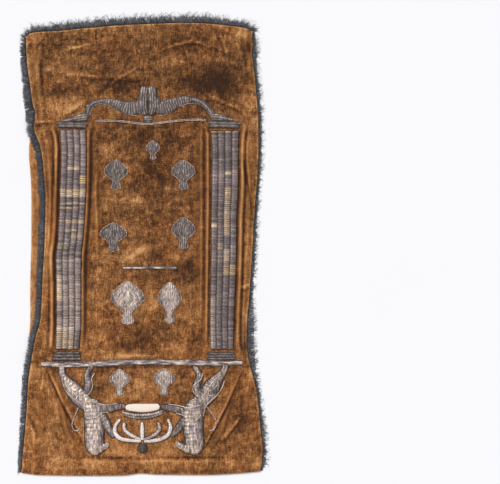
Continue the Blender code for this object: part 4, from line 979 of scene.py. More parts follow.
def finer(given):
    """One more row midway between each two, on the curve through their neighbours."""
    wider = np.vstack([2 * given[0] - given[1], given, 2 * given[-1] - given[-2]])
    midway = (9 * (wider[1:-2] + wider[2:-1]) - wider[:-3] - wider[3:]) / 16
    joined = np.empty((2 * len(given) - 1, given.shape[1]))
    joined[::2] = given
    joined[1::2] = midway
    return joined


def limb_rows(rows, step, blunt=False):
    """Sections at even steps on the smooth curve through the rows, with rounded ends unless blunt."""
    given = np.array([(row.x, row.y, row.half, row.rise) for row in rows], float)
    for _ in range(LIMB_FINER):
        given = finer(given)
    run = run_along(given)
    count = max(LEAST_ROWS, round(run[-1] / step))
    at = np.linspace(0, run[-1], count + 1)
    even = np.stack([np.interp(at, run, column) for column in given.T], axis=1)
    even[:, 2:] = np.maximum(even[:, 2:], LEAST_HALF)
    ease = BLUNT_EASE if blunt else ROUND_EASE
    for end, distance in ((0, at), (-1, run[-1] - at)):
        reach = min(even[end, 2] * ease, run[-1] / 3)
        share = np.clip(1 - distance / reach, 0, 1)
        rounding = np.sqrt(np.clip(1 - share**2, LEAST_ROUND, 1))
        even[:, 3] *= rounding
        if not blunt:
            even[:, 2] *= rounding
    return even, at


def limb_frame(rows, step, blunt=False):
    """Even sections with the sideways direction at each, and how far along the limb each lies."""
    even, at = limb_rows(rows, step, blunt)
    tangent = np.gradient(even[:, :2], axis=0)
    tangent /= np.maximum(np.hypot(*tangent.T), 1e-9)[:, None]
    return even, at, np.stack([tangent[:, 1], -tangent[:, 0]], axis=1)


def limb(rows, lower=0.0, ribs=0.0, pitch=2.4, cords=0.0, cord_pitch=2.0, power=PROFILE_POWER, tone=0.0,
         blunt=False):
    """A padded limb: across it the height is its rise times a power of the sine of the angle over its top.

    ribs is how deep the threads laid across show and pitch how far apart they lie. cords and cord_pitch are
    the same for threads that run along the limb.
    """
    even, at, side = limb_frame(rows, ROW_STEP, blunt)
    half, rise = even[:, 2:3], even[:, 3:4]
    angle = np.linspace(0, math.pi, ARC_POINTS if cords == 0 else 2 * ARC_POINTS + 1)
    across = -np.cos(angle)
    crown = np.sin(angle) ** power
    x = even[:, :1] + side[:, :1] * across * half
    y = even[:, 1:2] + side[:, 1:] * across * half
    thread = 0.5 - 0.5 * np.cos(2 * math.pi * at[:, None] / pitch)
    lengthwise = 0.5 - 0.5 * np.cos(2 * math.pi * (across * half) / cord_pitch)
    relief_here = (ribs * thread + cords * lengthwise) * crown**2
    z = velvet_top(x, y) + SEAT + lower + (WALL + rise) * crown - relief_here
    line = thread if cords == 0 else lengthwise
    # edge paints shade on the limb's sloping sides; thread paints shade in the grooves between its threads.
    marks = {"tone": tone, "edge": np.abs(across) ** EDGE_SHADE_POWER, "thread": line}
    return closed_loft(np.stack([x, y, z], axis=2), marks)


def twisted(tone, run, pitch):
    """Marks of a cord whose twist shows as painted highlight and painted shade along it."""
    return {"tone": tone, "edge": 0.0, "thread": (0.5 + 0.5 * np.sin(run * 2 * math.pi / pitch))[:, None]}


# Where its finish is dark, this cord paints the shade at a piece's foot.
def outline_tube(rows, radius, tone, blunt=False):
    """A fine cord laid round a limb's foot: out along one side and back along the other."""
    even, _, side = limb_frame(rows, EDGING_STEP, blunt)
    reach = side * (even[:, 2:3] + radius * EDGING_OUT)
    out = even[:, :2] + reach
    back = even[:, :2] - reach
    loop = np.vstack([out, back[::-1], out[:2]])
    run = run_along(loop)
    keep = np.concatenate([[True], np.diff(run) > EDGING_LEAST])
    loop, run = loop[keep], run[keep]
    path = np.column_stack([loop, velvet_top(loop[:, 0], loop[:, 1]) + SEAT + radius * EDGING_LIFT])
    return tube(path, radius, twisted(tone, run, EDGING_TWIST), EDGING_SIDES)


def raised_top(x, y, limbs):
    """How high the limbs stand over the velvet at each place: the tallest of their profiles there."""
    top = np.zeros_like(x)
    for rows in limbs:
        even, _ = limb_rows(rows, TOP_STEP)
        away = np.hypot(x[:, None] - even[:, 0], y[:, None] - even[:, 1])
        share = np.clip(1 - (away / even[:, 2]) ** 2, 0, 1)
        top = np.maximum(top, ((WALL + even[:, 3]) * share ** (PROFILE_POWER / 2)).max(axis=1))
    return top


def laid_cord(places, radius, limbs=()):
    """A fine cord on the smooth curve through the places, on top of the limbs or close over the velvet."""
    given = np.array(places, float)
    for _ in range(CORD_FINER):
        given = finer(given)
    x, y = given.T
    height = RIM_LEVEL
    if limbs:
        height = np.maximum(raised_top(x, y, limbs) + SEAT + radius * CORD_LIFT, radius)
    path = np.column_stack([given, velvet_top(x, y) + height])
    return tube(path, radius, twisted(0.0, run_along(given), CORD_TWIST), CORD_SIDES)


def tube(path, radius, marks, sides):
    """A round cord along a path of points: rings of even points square to it."""
    tangent = np.gradient(path, axis=0)
    tangent /= np.maximum(np.linalg.norm(tangent, axis=1), 1e-9)[:, None]
    side = np.stack([tangent[:, 1], -tangent[:, 0], np.zeros(len(path))], axis=1)
    side /= np.maximum(np.linalg.norm(side, axis=1), 1e-9)[:, None]
    up = np.cross(side, tangent)
    angle = np.arange(sides) * 2 * math.pi / sides
    radius = np.broadcast_to(radius, len(path))[:, None, None]
    around = np.cos(angle)[None, :, None] * side[:, None] + np.sin(angle)[None, :, None] * up[:, None]
    return closed_loft(path[:, None] + radius * around, marks)


def strands(roots, outward, length, sway, curl, level, radius, pale, rings):
    """Many tapered three-sided strands at once.

    A strand's middle line runs outward from its root for its length, and sideways by its sway times the
    share squared plus its curl times the sine of the share.
    """
    count = len(roots)
    share = np.linspace(0, 1, rings)
    side = np.stack([outward[:, 1], -outward[:, 0]], axis=1)
    drawn = CURL_DRAW * np.abs(curl)[:, None] * share / np.maximum(length, 1)[:, None]
    out = length[:, None] * share * (1 - drawn)
    across = sway[:, None] * share**2 + curl[:, None] * np.sin(share * CURL_TURN)
    plan = roots[:, None] + outward[:, None] * out[..., None] + side[:, None] * across[..., None]
    height = level[:, None] + (1 - share**ARCH_POWER) * STRAND_ARCH + STRAND_SEAT
    middle = np.concatenate([plan, height[..., None]], axis=2)
    angle = np.arange(STRAND_SIDES) * 2 * math.pi / STRAND_SIDES + math.pi / 2
    thick = radius[:, None] * (1 - STRAND_TAPER * share)
    turn_side = np.concatenate([side, np.zeros((count, 1))], axis=1)
    lifted = np.array([0.0, 0.0, 1.0])
    around = np.cos(angle)[:, None] * turn_side[:, None] + np.sin(angle)[:, None] * lifted
    points = middle[:, :, None] + thick[..., None, None] * around[:, None]
    index = np.arange(count * rings * STRAND_SIDES).reshape(count, rings, STRAND_SIDES)
    turned = np.roll(index, -1, axis=2)
    quads = np.stack([index[:, :-1], index[:, 1:], turned[:, 1:], turned[:, :-1]], axis=3).reshape(-1, 4)
    caps = np.vstack([index[:, 0], index[:, -1, ::-1]])
    marks = {
        "pale": np.broadcast_to(pale[:, None, None], index.shape).ravel(),
        "share": np.broadcast_to(share[None, :, None], index.shape).ravel(),
    }
    return points.reshape(-1, 3), quads, caps, marks


def new_finish(name):
    made = bpy.data.materials.new(name)
    made.use_nodes = True
    return made, made.node_tree, made.node_tree.nodes["Principled BSDF"]


def feed(tree, socket, value):
    if isinstance(value, bpy.types.NodeSocket):
        tree.links.new(value, socket)
    elif socket.type == "RGBA":
        socket.default_value = (*value[:3], 1)
    else:
        socket.default_value = value


def feed_all(tree, node, inputs):
    for key, value in inputs.items():
        feed(tree, node.inputs[key], value)


def put(tree, kind, inputs, **settings):
    """A node with its settings and its inputs, each a number, a colour or another node's output."""
    made = tree.nodes.new("ShaderNode" + kind)
    for key, value in settings.items():
        setattr(made, key, value)
    feed_all(tree, made, inputs)
    return made


def calc(tree, operation, first, second=0.0, clamp=False):
    made = put(tree, "Math", {0: first, 1: second}, operation=operation, use_clamp=clamp)
    return made.outputs[0]


def mixed(tree, factor, first, second, how="MIX"):
    made = put(tree, "Mix", {0: factor, 6: first, 7: second}, data_type="RGBA", blend_type=how)
    return made.outputs[2]


def ramp(tree, factor, stops):
    made = put(tree, "ValToRGB", {0: factor})
    while len(made.color_ramp.elements) < len(stops):
        made.color_ramp.elements.new(0.5)
    for element, (place, colour) in zip(made.color_ramp.elements, stops):
        element.position = place
        element.color = (*colour[:3], 1)
    return made.outputs[0]


def marked(tree, name):
    return put(tree, "Attribute", {}, attribute_name=name).outputs["Fac"]


def stretched(tree, across, along):
    """Object coordinates scaled on each axis, so that a texture stretches along the small one."""
    place = put(tree, "TexCoord", {}).outputs["Object"]
    return put(tree, "Mapping", {"Vector": place, "Scale": (across, along, 1.0)}).outputs[0]


def grain(tree, texture, share=1.0, twist=0.0):
    """Random tones as the texture says; share changes its scale and twist curls it."""
    return put(tree, "TexNoise", {
        "Vector": stretched(tree, texture.across * share, texture.along * share), "Scale": 1.0,
        "Detail": texture.detail, "Roughness": texture.rough, "Distortion": twist,
    }).outputs["Fac"]


def varied(tree, factor, part, weight, clamp=False):
    """The factor, raised and lowered by a texture round that texture's middle."""
    swing = calc(tree, "MULTIPLY", calc(tree, "SUBTRACT", part, 0.5), weight)
    return calc(tree, "ADD", factor, swing, clamp)


def less(tree, factor, part, weight, clamp=False):
    return calc(tree, "SUBTRACT", factor, calc(tree, "MULTIPLY", part, weight), clamp)


def toned(tree, factor, group, *stops):
    """A ramp through the group's colours, each given as its place and its name."""
    return ramp(tree, factor, [(place, getattr(group, name + "_colour")) for place, name in stops])


def relief(tree, shader, height, depth, strength):
    made = put(tree, "Bump", {"Strength": strength, "Distance": depth, "Height": height})
    feed(tree, shader.inputs["Normal"], made.outputs[0])


def velvet_finish(name, cloth, streak):
    """Pile velvet: a ramp of tones from umber to tan, driven by the nap, streaks and curled flecks; the
    front's nap carries painted highlight and shade.
    """
    made, tree, shader = new_finish(name)
    streaks = 0.0
    for texture in VELVET_STREAKS:
        streaks = varied(tree, streaks, grain(tree, texture), texture.weight)
    for curl in VELVET_CURLS:
        line = grain(tree, Texture(curl.across, curl.along, detail=2.0, rough=0.6), twist=curl.twist)
        away = calc(tree, "ABSOLUTE", calc(tree, "SUBTRACT", line, 0.5))
        fleck = less(tree, CURL_EDGE, away, curl.thin, clamp=True)
        streaks = calc(tree, "ADD", streaks, calc(tree, "MULTIPLY", fleck, curl.weight))
    calm = less(tree, 1.0, marked(tree, "calm"), VELVET_CALM)
    streaks = calc(tree, "MULTIPLY", calc(tree, "MULTIPLY", streaks, calm), streak)
    tone = calc(tree, "ADD", marked(tree, "nap"), streaks, clamp=True)
    brown = toned(
        tree, tone, cloth, (0.0, "shadow"), (0.26, "dark"), (0.48, "middle"), (0.7, "light"), (1.0, "tan"))
    golden = mixed(tree, 1.0, brown, cloth.golden_tint, "MULTIPLY")
    ruddy = mixed(tree, 1.0, brown, cloth.warm_tint, "MULTIPLY")
    feed_all(tree, shader, {
        "Base Color": mixed(tree, marked(tree, "warm"), golden, ruddy), "Roughness": 0.85,
        "Specular IOR Level": 0.2, "Sheen Weight": 0.08, "Sheen Roughness": 0.45,
        "Sheen Tint": (0.85, 0.66, 0.5),
    })
    pile = calc(tree, "MULTIPLY", grain(tree, VELVET_RELIEF), VELVET_RELIEF.weight)
    relief(tree, shader, calc(tree, "ADD", streaks, pile), depth=0.0012, strength=0.8)
    return made


def silk_finish(name, cloth):
    """Fringe silk: near-black teal at the root, greyer on the loose wisps, varied from lock to lock."""
    made, tree, shader = new_finish(name)
    pale = calc(tree, "MULTIPLY", marked(tree, "pale"), SILK_PALE)
    factor = calc(tree, "ADD", pale, calc(tree, "MULTIPLY", marked(tree, "share"), SILK_TIP))
    factor = varied(tree, factor, grain(tree, SILK_LOCKS), SILK_LOCKS.weight)
    fine = grain(tree, SILK_STRANDS)
    factor = varied(tree, factor, fine, SILK_STRANDS.weight, clamp=True)
    colour = ramp(tree, factor, (
        (0.05, cloth.fringe_dark), (0.5, cloth.fringe_middle), (1.0, cloth.fringe_pale),
    ))
    feed_all(tree, shader, {"Base Color": colour, "Roughness": 0.6, "Sheen Weight": 0.15})
    relief(tree, shader, fine, depth=0.0004, strength=0.5)
    return made


def couched_finish(name, thread):
    """Metal thread laid crosswise over the reeds, each thread in its own tone, with bars of gilt."""
    made, tree, shader = new_finish(name)
    line = marked(tree, "thread")
    fleck = grain(tree, COUCHED_FLECKS)
    factor = varied(tree, marked(tree, "tone"), fleck, COUCHED_FLECKS.weight)
    factor = varied(tree, factor, grain(tree, COUCHED_SPECKS), COUCHED_SPECKS.weight)
    # Painted shade in the grooves between threads and on each reed's sides.
    factor = less(tree, factor, line, COUCHED_GROOVE_SHADE)
    factor = less(tree, factor, marked(tree, "edge"), COUCHED_EDGE_SHADE, clamp=True)
    silver = toned(
        tree, factor, thread,
        (0.0, "tarnish"), (0.35, "grey"), (0.62, "silver"), (0.85, "beige"), (1.0, "bright"),
    )
    hue = grain(tree, COUCHED_HUE)
    hue = toned(tree, hue, thread, (0.38, "lavender"), (0.52, "silver"), (0.62, "beige"))
    silver = mixed(tree, COUCHED_HUE.weight, silver, mixed(tree, 1.0, silver, hue, "OVERLAY"))
    gilt = ramp(tree, factor, (
        (0.0, thread.gilt_dark), (0.5, thread.gilt_colour), (1.0, thread.cream_colour),
    ))
    colour = mixed(tree, marked(tree, "gold"), silver, gilt)
    feed_all(tree, shader, {"Base Color": colour, "Metallic": 0.35, "Roughness": 0.42})
    relief(tree, shader, calc(tree, "ADD", fleck, line), depth=0.0005, strength=0.6)
    return made


def padded_finish(name, thread):
    """Metal thread over padding: short flecks of silver, cream and lavender, with painted shade towards the
    edge and in the gaps.
    """
    work = WORKS[name]
    made, tree, shader = new_finish(name)
    line = marked(tree, "thread")
    fleck = grain(tree, Texture(work.across, work.along, detail=3.0, rough=0.7))
    factor = varied(tree, work.lift, fleck, work.contrast)
    factor = varied(tree, factor, grain(tree, PADDED_BROAD), PADDED_BROAD.weight)
    factor = calc(tree, "ADD", factor, marked(tree, "tone"))
    # Painted shade in the gaps between threads and on the limb's sloping sides.
    factor = less(tree, factor, line, work.gaps)
    factor = less(tree, factor, marked(tree, "edge"), PADDED_EDGE_SHADE, clamp=True)
    silver = toned(
        tree, factor, thread,
        (0.0, "tarnish"), (0.3, "grey"), (0.55, "silver"), (0.8, "beige"), (1.0, "bright"),
    )
    hue = grain(tree, Texture(work.across, work.along, detail=2.0, rough=0.6), PADDED_HUE)
    tinted = toned(tree, hue, thread, (0.36, "lavender"), (0.5, "silver"), (0.6, "cream"))
    shaded = mixed(tree, 1.0, tinted, silver, "MULTIPLY")
    colour = mixed(tree, work.tint, silver, mixed(tree, 0.5, shaded, tinted))
    feed_all(tree, shader, {"Base Color": colour, "Metallic": work.metallic, "Roughness": work.rough})
    relief(tree, shader, calc(tree, "ADD", fleck, line), depth=work.depth, strength=0.8)
    return made


def woven_finish(name, thread):
    """Cream cloth in plain weave, darkened towards its rims with painted shade."""
    made, tree, shader = new_finish(name)
    place = stretched(tree, 1, 1)
    warp, weft = (
        put(tree, "TexWave", {"Vector": place, "Scale": WEAVE_SCALE, "Distortion": 1.5, "Detail": 1.0},
            wave_type="BANDS", bands_direction=way).outputs["Fac"]
        for way in ("X", "Y")
    )
    weave = calc(tree, "MULTIPLY", calc(tree, "ADD", warp, weft), 0.5)
    factor = calc(tree, "ADD", weave, WEAVE_LIFT)
    # Painted shade along the patch's rims.
    factor = less(tree, factor, marked(tree, "edge"), WEAVE_EDGE_SHADE, clamp=True)
    colour = toned(tree, factor, thread, (0.0, "beige"), (0.5, "patch"), (1.0, "bright"))
    feed_all(tree, shader, {"Base Color": colour, "Roughness": 0.85})
    relief(tree, shader, weave, depth=0.0004, strength=0.5)
    return made


def colour_setting(label, says, red, green, blue):
    """A colour setting whose default is given as it shows, from 0 to 255."""
    return bpy.props.FloatVectorProperty(
        name=label, description=says, subtype="COLOR", size=3, default=linear(red, green, blue),
        min=0, max=1)


def tint_setting(label, says, shares):
    """A colour setting that multiplies another."""
    return bpy.props.FloatVectorProperty(
        name=label, description=says, subtype="COLOR", size=3, default=shares, min=0, max=2)


class MantleCloth(bpy.types.PropertyGroup):
    """Colours of the velvet and the fringe."""

    # The shadow and dark stops also paint the shade in the valleys beside folds and in creases.
    shadow_colour: colour_setting("Shadow", "Pile pressed away from the light", 50, 29, 15)
    dark_colour: colour_setting("Dark brown", "Darker patches of the pile", 80, 48, 25)
    middle_colour: colour_setting("Brown", "The velvet's main colour", 122, 79, 43)
    light_colour: colour_setting("Light brown", "Lighter patches of the pile", 158, 107, 62)
    # The tan stop also paints the highlight on fold ridges and crease sides, and it lightens the rims.
    tan_colour: colour_setting("Tan", "Worn rims and folds", 208, 156, 106)
    warm_tint: tint_setting(
        "Ruddy tint", "Multiplies the brown where the pile looks redder", (1.0, 0.9, 0.78))
    golden_tint: tint_setting(
        "Golden tint", "Multiplies the brown where the pile looks golden", (0.98, 1.0, 0.98))
    fringe_dark: colour_setting("Fringe, dense", "Silk at the fringe's root", 34, 38, 44)
    fringe_middle: colour_setting("Fringe, middle", "Silk halfway out", 92, 92, 98)
    fringe_pale: colour_setting("Fringe, loose", "Loose wisps of silk", 136, 135, 138)
    crush: bpy.props.FloatProperty(
        name="Crushing", description="How strongly the pile's streaks show", default=1.15, min=0, max=3)
    strand_radius: bpy.props.FloatProperty(
        name="Strand radius", description="Half the thickness of one silk strand", default=0.00042,
        min=0.0001, max=0.002, subtype="DISTANCE", unit="LENGTH")


class MantleThread(bpy.types.PropertyGroup):
    """Colours of the metal thread and the small cloth pieces."""

    tarnish_colour: colour_setting("Tarnish", "Darkest metal thread", 52, 46, 46)
    grey_colour: colour_setting("Grey", "Dull metal thread", 103, 92, 90)
    silver_colour: colour_setting("Silver", "Clean metal thread", 157, 141, 136)
    beige_colour: colour_setting("Beige", "Warm metal thread", 205, 183, 169)
    bright_colour: colour_setting("Bright", "Brightest glints", 243, 233, 227)
    lavender_colour: colour_setting("Lavender", "Cool tint of aged silver", 134, 126, 142)
    cream_colour: colour_setting("Cream", "Pale silk between the threads", 230, 208, 176)
    gilt_dark: colour_setting("Gilt, dark", "Gilt thread in shade", 112, 88, 56)
    gilt_colour: colour_setting("Gilt", "Gilt thread", 196, 166, 112)
    patch_colour: colour_setting("Patch", "Cream cloth patch over the crown", 231, 212, 190)


class MantleLight(bpy.types.PropertyGroup):
    """The studio round the mantle."""

    floor_colour: bpy.props.FloatVectorProperty(
        name="Floor", description="Colour of the plain floor", subtype="COLOR", size=3,
        default=(0.845, 0.845, 0.858), min=0, max=1)
    floor_size: bpy.props.FloatProperty(
        name="Floor size", description="Side of the square floor", default=12.0, min=1, max=100,
        subtype="DISTANCE", unit="LENGTH")
    sky: bpy.props.FloatProperty(
        name="Soft light", description="Strength of the light from all round", default=0.62, min=0, max=10)
    sun: bpy.props.FloatProperty(
        name="Key light", description="Strength of the light from the upper left", default=2.3,
        min=0, max=50)
    sun_angle: bpy.props.FloatProperty(
        name="Key light spread", description="How wide the key light is", default=math.radians(24),
        min=0, max=math.pi, subtype="ANGLE", unit="ROTATION")
    camera_height: bpy.props.FloatProperty(
        name="Camera height", description="Height of the camera over the floor", default=2.5,
        min=0.5, max=20, subtype="DISTANCE", unit="LENGTH")


def raised_fold(rows, y):
    """How high the fold stands at each row, as a share of a full one."""
    return np.clip(column_of(rows, "y", "rise", y) / FULL_FOLD, 0, 1)


def calm_near_folds(x, y):
    """How smooth the pile lies, from 0 to 1: smooth on the high folds and their slopes."""
    calm = np.zeros_like(x)
    for rows in FOLDS.values():
        middle = column_of(rows, "y", "x", y)
        calm = np.maximum(calm, raised_fold(rows, y) * bump(x - middle, CALM_HALF))
    return calm


def nap_and_painted_light(x, y):
    """Tone of the pile: the middle tone, patches that fall off as a bell, painted light and shade on folds
    and creases, lighter rims.
    """
    px = x / PHOTO_MM + PLAN_ACROSS
    py = PLAN_DOWN - y / PHOTO_MM
    tone = np.full_like(x, NAP_MIDDLE)
    for patch in PATCHES:
        away = ((px - patch.px) / patch.wide) ** 2 + ((py - patch.py) / patch.tall) ** 2
        tone += PATCH_SHARE * patch.tone * np.exp(-away)
    # Painted highlight and painted shade beside the folds, weaker below LOW_END.
    held = LOW_SHADE + (1 - LOW_SHADE) * step_up(y - LOW_END, LOW_BLEND)
    for shade in SHADES:
        rows = FOLDS[shade.fold]
        away = x - column_of(rows, "y", "x", y) - shade.offset
        tone += shade.tone * raised_fold(rows, y) * held * bump(away, shade.half)
    # Painted highlight on the crease ridges.
    for crease in (*CREASES, *SMALL_CREASES):
        tone += CREASE_HIGHLIGHT * crease_rise(crease, x, y)
    tone += uneven(x, y, BROAD_NAP)
    tone += uneven(x, y, FINE_NAP) * (1 - CALM_SHARE * calm_near_folds(x, y))
    # Painted shade and painted highlight along thin creases and seams.
    for line in SHADE_LINES:
        tone += math.copysign(1, line.rise) * crease_rise(line._replace(rise=abs(line.rise)), x, y)
    tone += RIM_TONE * bump(edge_distance(x, y), RIM_HALF)
    return tone


class MANTLE_OT_front_velvet(bpy.types.Operator):
    """Lay the front panel of crushed velvet with its folds"""

    bl_idname = "mantle.front_velvet"
    bl_label = "Front velvet"

    def execute(self, context):
        x, y = cloth_plan(*FRONT_GRID)
        upper, under = front_heights(x, y)
        warm = np.clip(WARM_MIDDLE - y / WARM_LONG + uneven(x, y, WARM_GRAINS), 0, 1)
        # The nap mark carries painted highlight and painted shade along the folds and creases.
        marks = {"nap": nap_and_painted_light(x, y), "warm": warm, "calm": calm_near_folds(x, y)}
        part = closed_sheet(x, y, upper, under, marks)
        cloth = context.scene.mantle_cloth
        finish = velvet_finish("front_velvet", cloth, cloth.crush)
        obj = lay_piece("front_velvet", [part], finish, ["front_panel"], sewn=False)
        return {"FINISHED"}


class MANTLE_OT_back_velvet(bpy.types.Operator):
    """Lay the back panel, which shows beside the front one"""

    bl_idname = "mantle.back_velvet"
    bl_label = "Back velvet"

    def execute(self, context):
        x, y = cloth_plan(*BACK_GRID, beyond=True)
        left = side_x(LEFT_SIDE, y) - column_of(LEFT_SIDE, "y", "beyond", y)
        inside = np.minimum(x - left, side_x(RIGHT_SIDE, y) - x)
        inside = np.minimum(inside, np.minimum(end_y(HEM_END, x) - y, y - end_y(TOP_END, x)))
        upper = BACK_THICK - BACK_RIM_DROP * (1 - step_up(inside, BACK_RIM))
        nap = BACK_NAP + uneven(x, y, BACK_GRAINS) + BACK_RIM_TONE * bump(inside, BACK_RIM)
        marks = {"nap": nap, "warm": np.full_like(x, BACK_WARM), "calm": np.full_like(x, BACK_CALM)}
        part = closed_sheet(x, y, upper, np.zeros_like(x), marks)
        cloth = context.scene.mantle_cloth
        finish = velvet_finish("back_velvet", cloth, cloth.crush * BACK_CRUSH)
        obj = lay_piece("back_velvet", [part], finish, ["back_panel"], sewn=False)
        return {"FINISHED"}


def fringe_line(name):
    """The cloth edge that a fringe follows, its outside on the left: places, lifts and lock lengths."""
    if name == "hem_fringe":
        x = np.linspace(HEM_END[0].x + STRIP_INSET, HEM_END[-1].x - STRIP_INSET, HEM_POINTS)
        edge = np.stack([x, end_y(HEM_END, x)], axis=1)
        return edge, np.zeros_like(x), column_of(HEM_LOCKS, "x", "y", x)
    rows = LEFT_SIDE if name == "side_fringe_left" else RIGHT_SIDE
    y = np.linspace(TOP_ROW + STRIP_INSET, HEM_ROW - CORNER_INSET, SIDE_POINTS)
    if rows is RIGHT_SIDE:
        y = y[::-1]
    x = side_x(rows, y)
    edge = np.stack([x, leant(y, end_y(HEM_END, x), end_y(TOP_END, x))], axis=1)
    return edge, column_of(rows, "y", "lift", y), column_of(rows, "y", "lock", y)


def fringe_course(name):
    """The fringe's line, with its outward direction fanned out at the corners."""
    edge, lifts, locks = fringe_line(name)
    run = run_along(edge)
    tangent = np.gradient(edge, run, axis=0)
    tangent /= np.hypot(*tangent.T)[:, None]
    outward = np.stack([-tangent[:, 1], tangent[:, 0]], axis=1)
    for corner, sign in FRINGES[name].corners:
        near = np.clip(1 - np.abs(run - corner * run[-1]) / CORNER_REACH, 0, 1)
        outward = outward + sign * near[:, None] * tangent
    outward = outward / np.hypot(*outward.T)[:, None]
    return Course(run, edge, outward, lifts, locks)


def read_at(course, values, where):
    """Values given along the course, read at distances along it, one column for each."""
    return np.stack([np.interp(where, course.run, column) for column in np.atleast_2d(values.T)], axis=-1)


def fringe_strip(course):
    """The ribbed heading strip just outside the cloth's edge."""
    steps = np.linspace(0, course.run[-1], round(course.run[-1] / STRIP_STEP))
    place = read_at(course, course.edge, steps)
    way = read_at(course, course.outward, steps)
    level = read_at(course, course.lifts, steps)[:, 0]
    knot = 0.5 + 0.5 * np.cos(steps * 2 * math.pi / KNOT_PITCH)
    rings = []
    for share, height in STRIP_SECTION:
        out = STRIP_GAP * STRIP_START + share * (STRIP_WIDTH + STRIP_GAP * (1 - STRIP_START))
        lifted = level + height * STRIP_THICK * (1 - KNOT_DEPTH + KNOT_DEPTH * knot)
        rings.append(np.concatenate([place + way * out, lifted[:, None]], axis=1))
    # Painted highlight on the knots' raised tops.
    return closed_loft(np.stack(rings, axis=1), {"pale": KNOT_HIGHLIGHT * knot[:, None], "share": 0.0})


def fringe_tuft(course, tuft, fringe, draw, radius):
    """One layer of silk: strands at random places, whose lengths, sways and tones gather into clumps."""
    seed = fringe.seed
    count = round(course.run[-1] / tuft.spacing)
    where = np.sort(draw.uniform(0, course.run[-1], count))
    clump = noise(where, where * 0 + seed, CLUMP_PITCH, CLUMP_PITCH, seed + CLUMP_SEED)
    kept = draw.uniform(-1, 1, count) < clump * tuft.ragged + (1 - tuft.ragged)
    where, clump = where[kept], clump[kept]
    count = len(where)
    lock = read_at(course, course.locks, where)[:, 0]
    full = np.clip((lock - fringe.full) / FULL_SPAN, 0, 1)
    portion = draw.uniform(tuft.shortest, tuft.longest, count)
    portion = portion + (FULL_SHARE - portion) * FULL_PULL * full
    length = lock * portion * (1 + CLUMP_LONGER * clump * (1 - full))
    length = np.minimum(length, lock * tuft.longest)
    way = read_at(course, course.outward, where)
    root = read_at(course, course.edge, where) + way * (STRIP_WIDTH * ROOT_SHARE)
    wave = WAVE_WIDE * noise(where, where * 0, WAVE_PITCH, WAVE_PITCH, seed + WAVE_SEED)
    sway = (draw.normal(0, tuft.tangle, count) * length + wave) * (1 - FULL_CALM * full)
    curl = draw.normal(0, CURL_SHARE * tuft.tangle, count) * length
    level = read_at(course, course.lifts, where)[:, 0] + draw.uniform(0, STRAND_LOFT, count)
    pale = np.clip(tuft.pale + draw.normal(0, PALE_SPREAD, count) + PALE_CLUMP * clump, 0, 1)
    thick = radius * tuft.thick * draw.uniform(THINNEST, THICKEST, count)
    return strands(root, way, length, sway, curl, level, thick, pale, tuft.rings)


class MANTLE_OT_fringes(bpy.types.Operator):
    """Lay the silk fringe along the hem and both sides"""

    bl_idname = "mantle.fringes"
    bl_label = "Silk fringes"

    def execute(self, context):
        cloth = context.scene.mantle_cloth
        finish = silk_finish("fringe_silk", cloth)
        radius = cloth.strand_radius / MM
        for name, fringe in FRINGES.items():
            course = fringe_course(name)
            draw = np.random.default_rng(fringe.seed)
            parts = [fringe_strip(course)]
            for tuft in (fringe.dense, fringe.loose):
                parts.append(fringe_tuft(course, tuft, fringe, draw, radius))
            lay_piece(name + "_silk", parts, finish, [name])
        return {"FINISHED"}


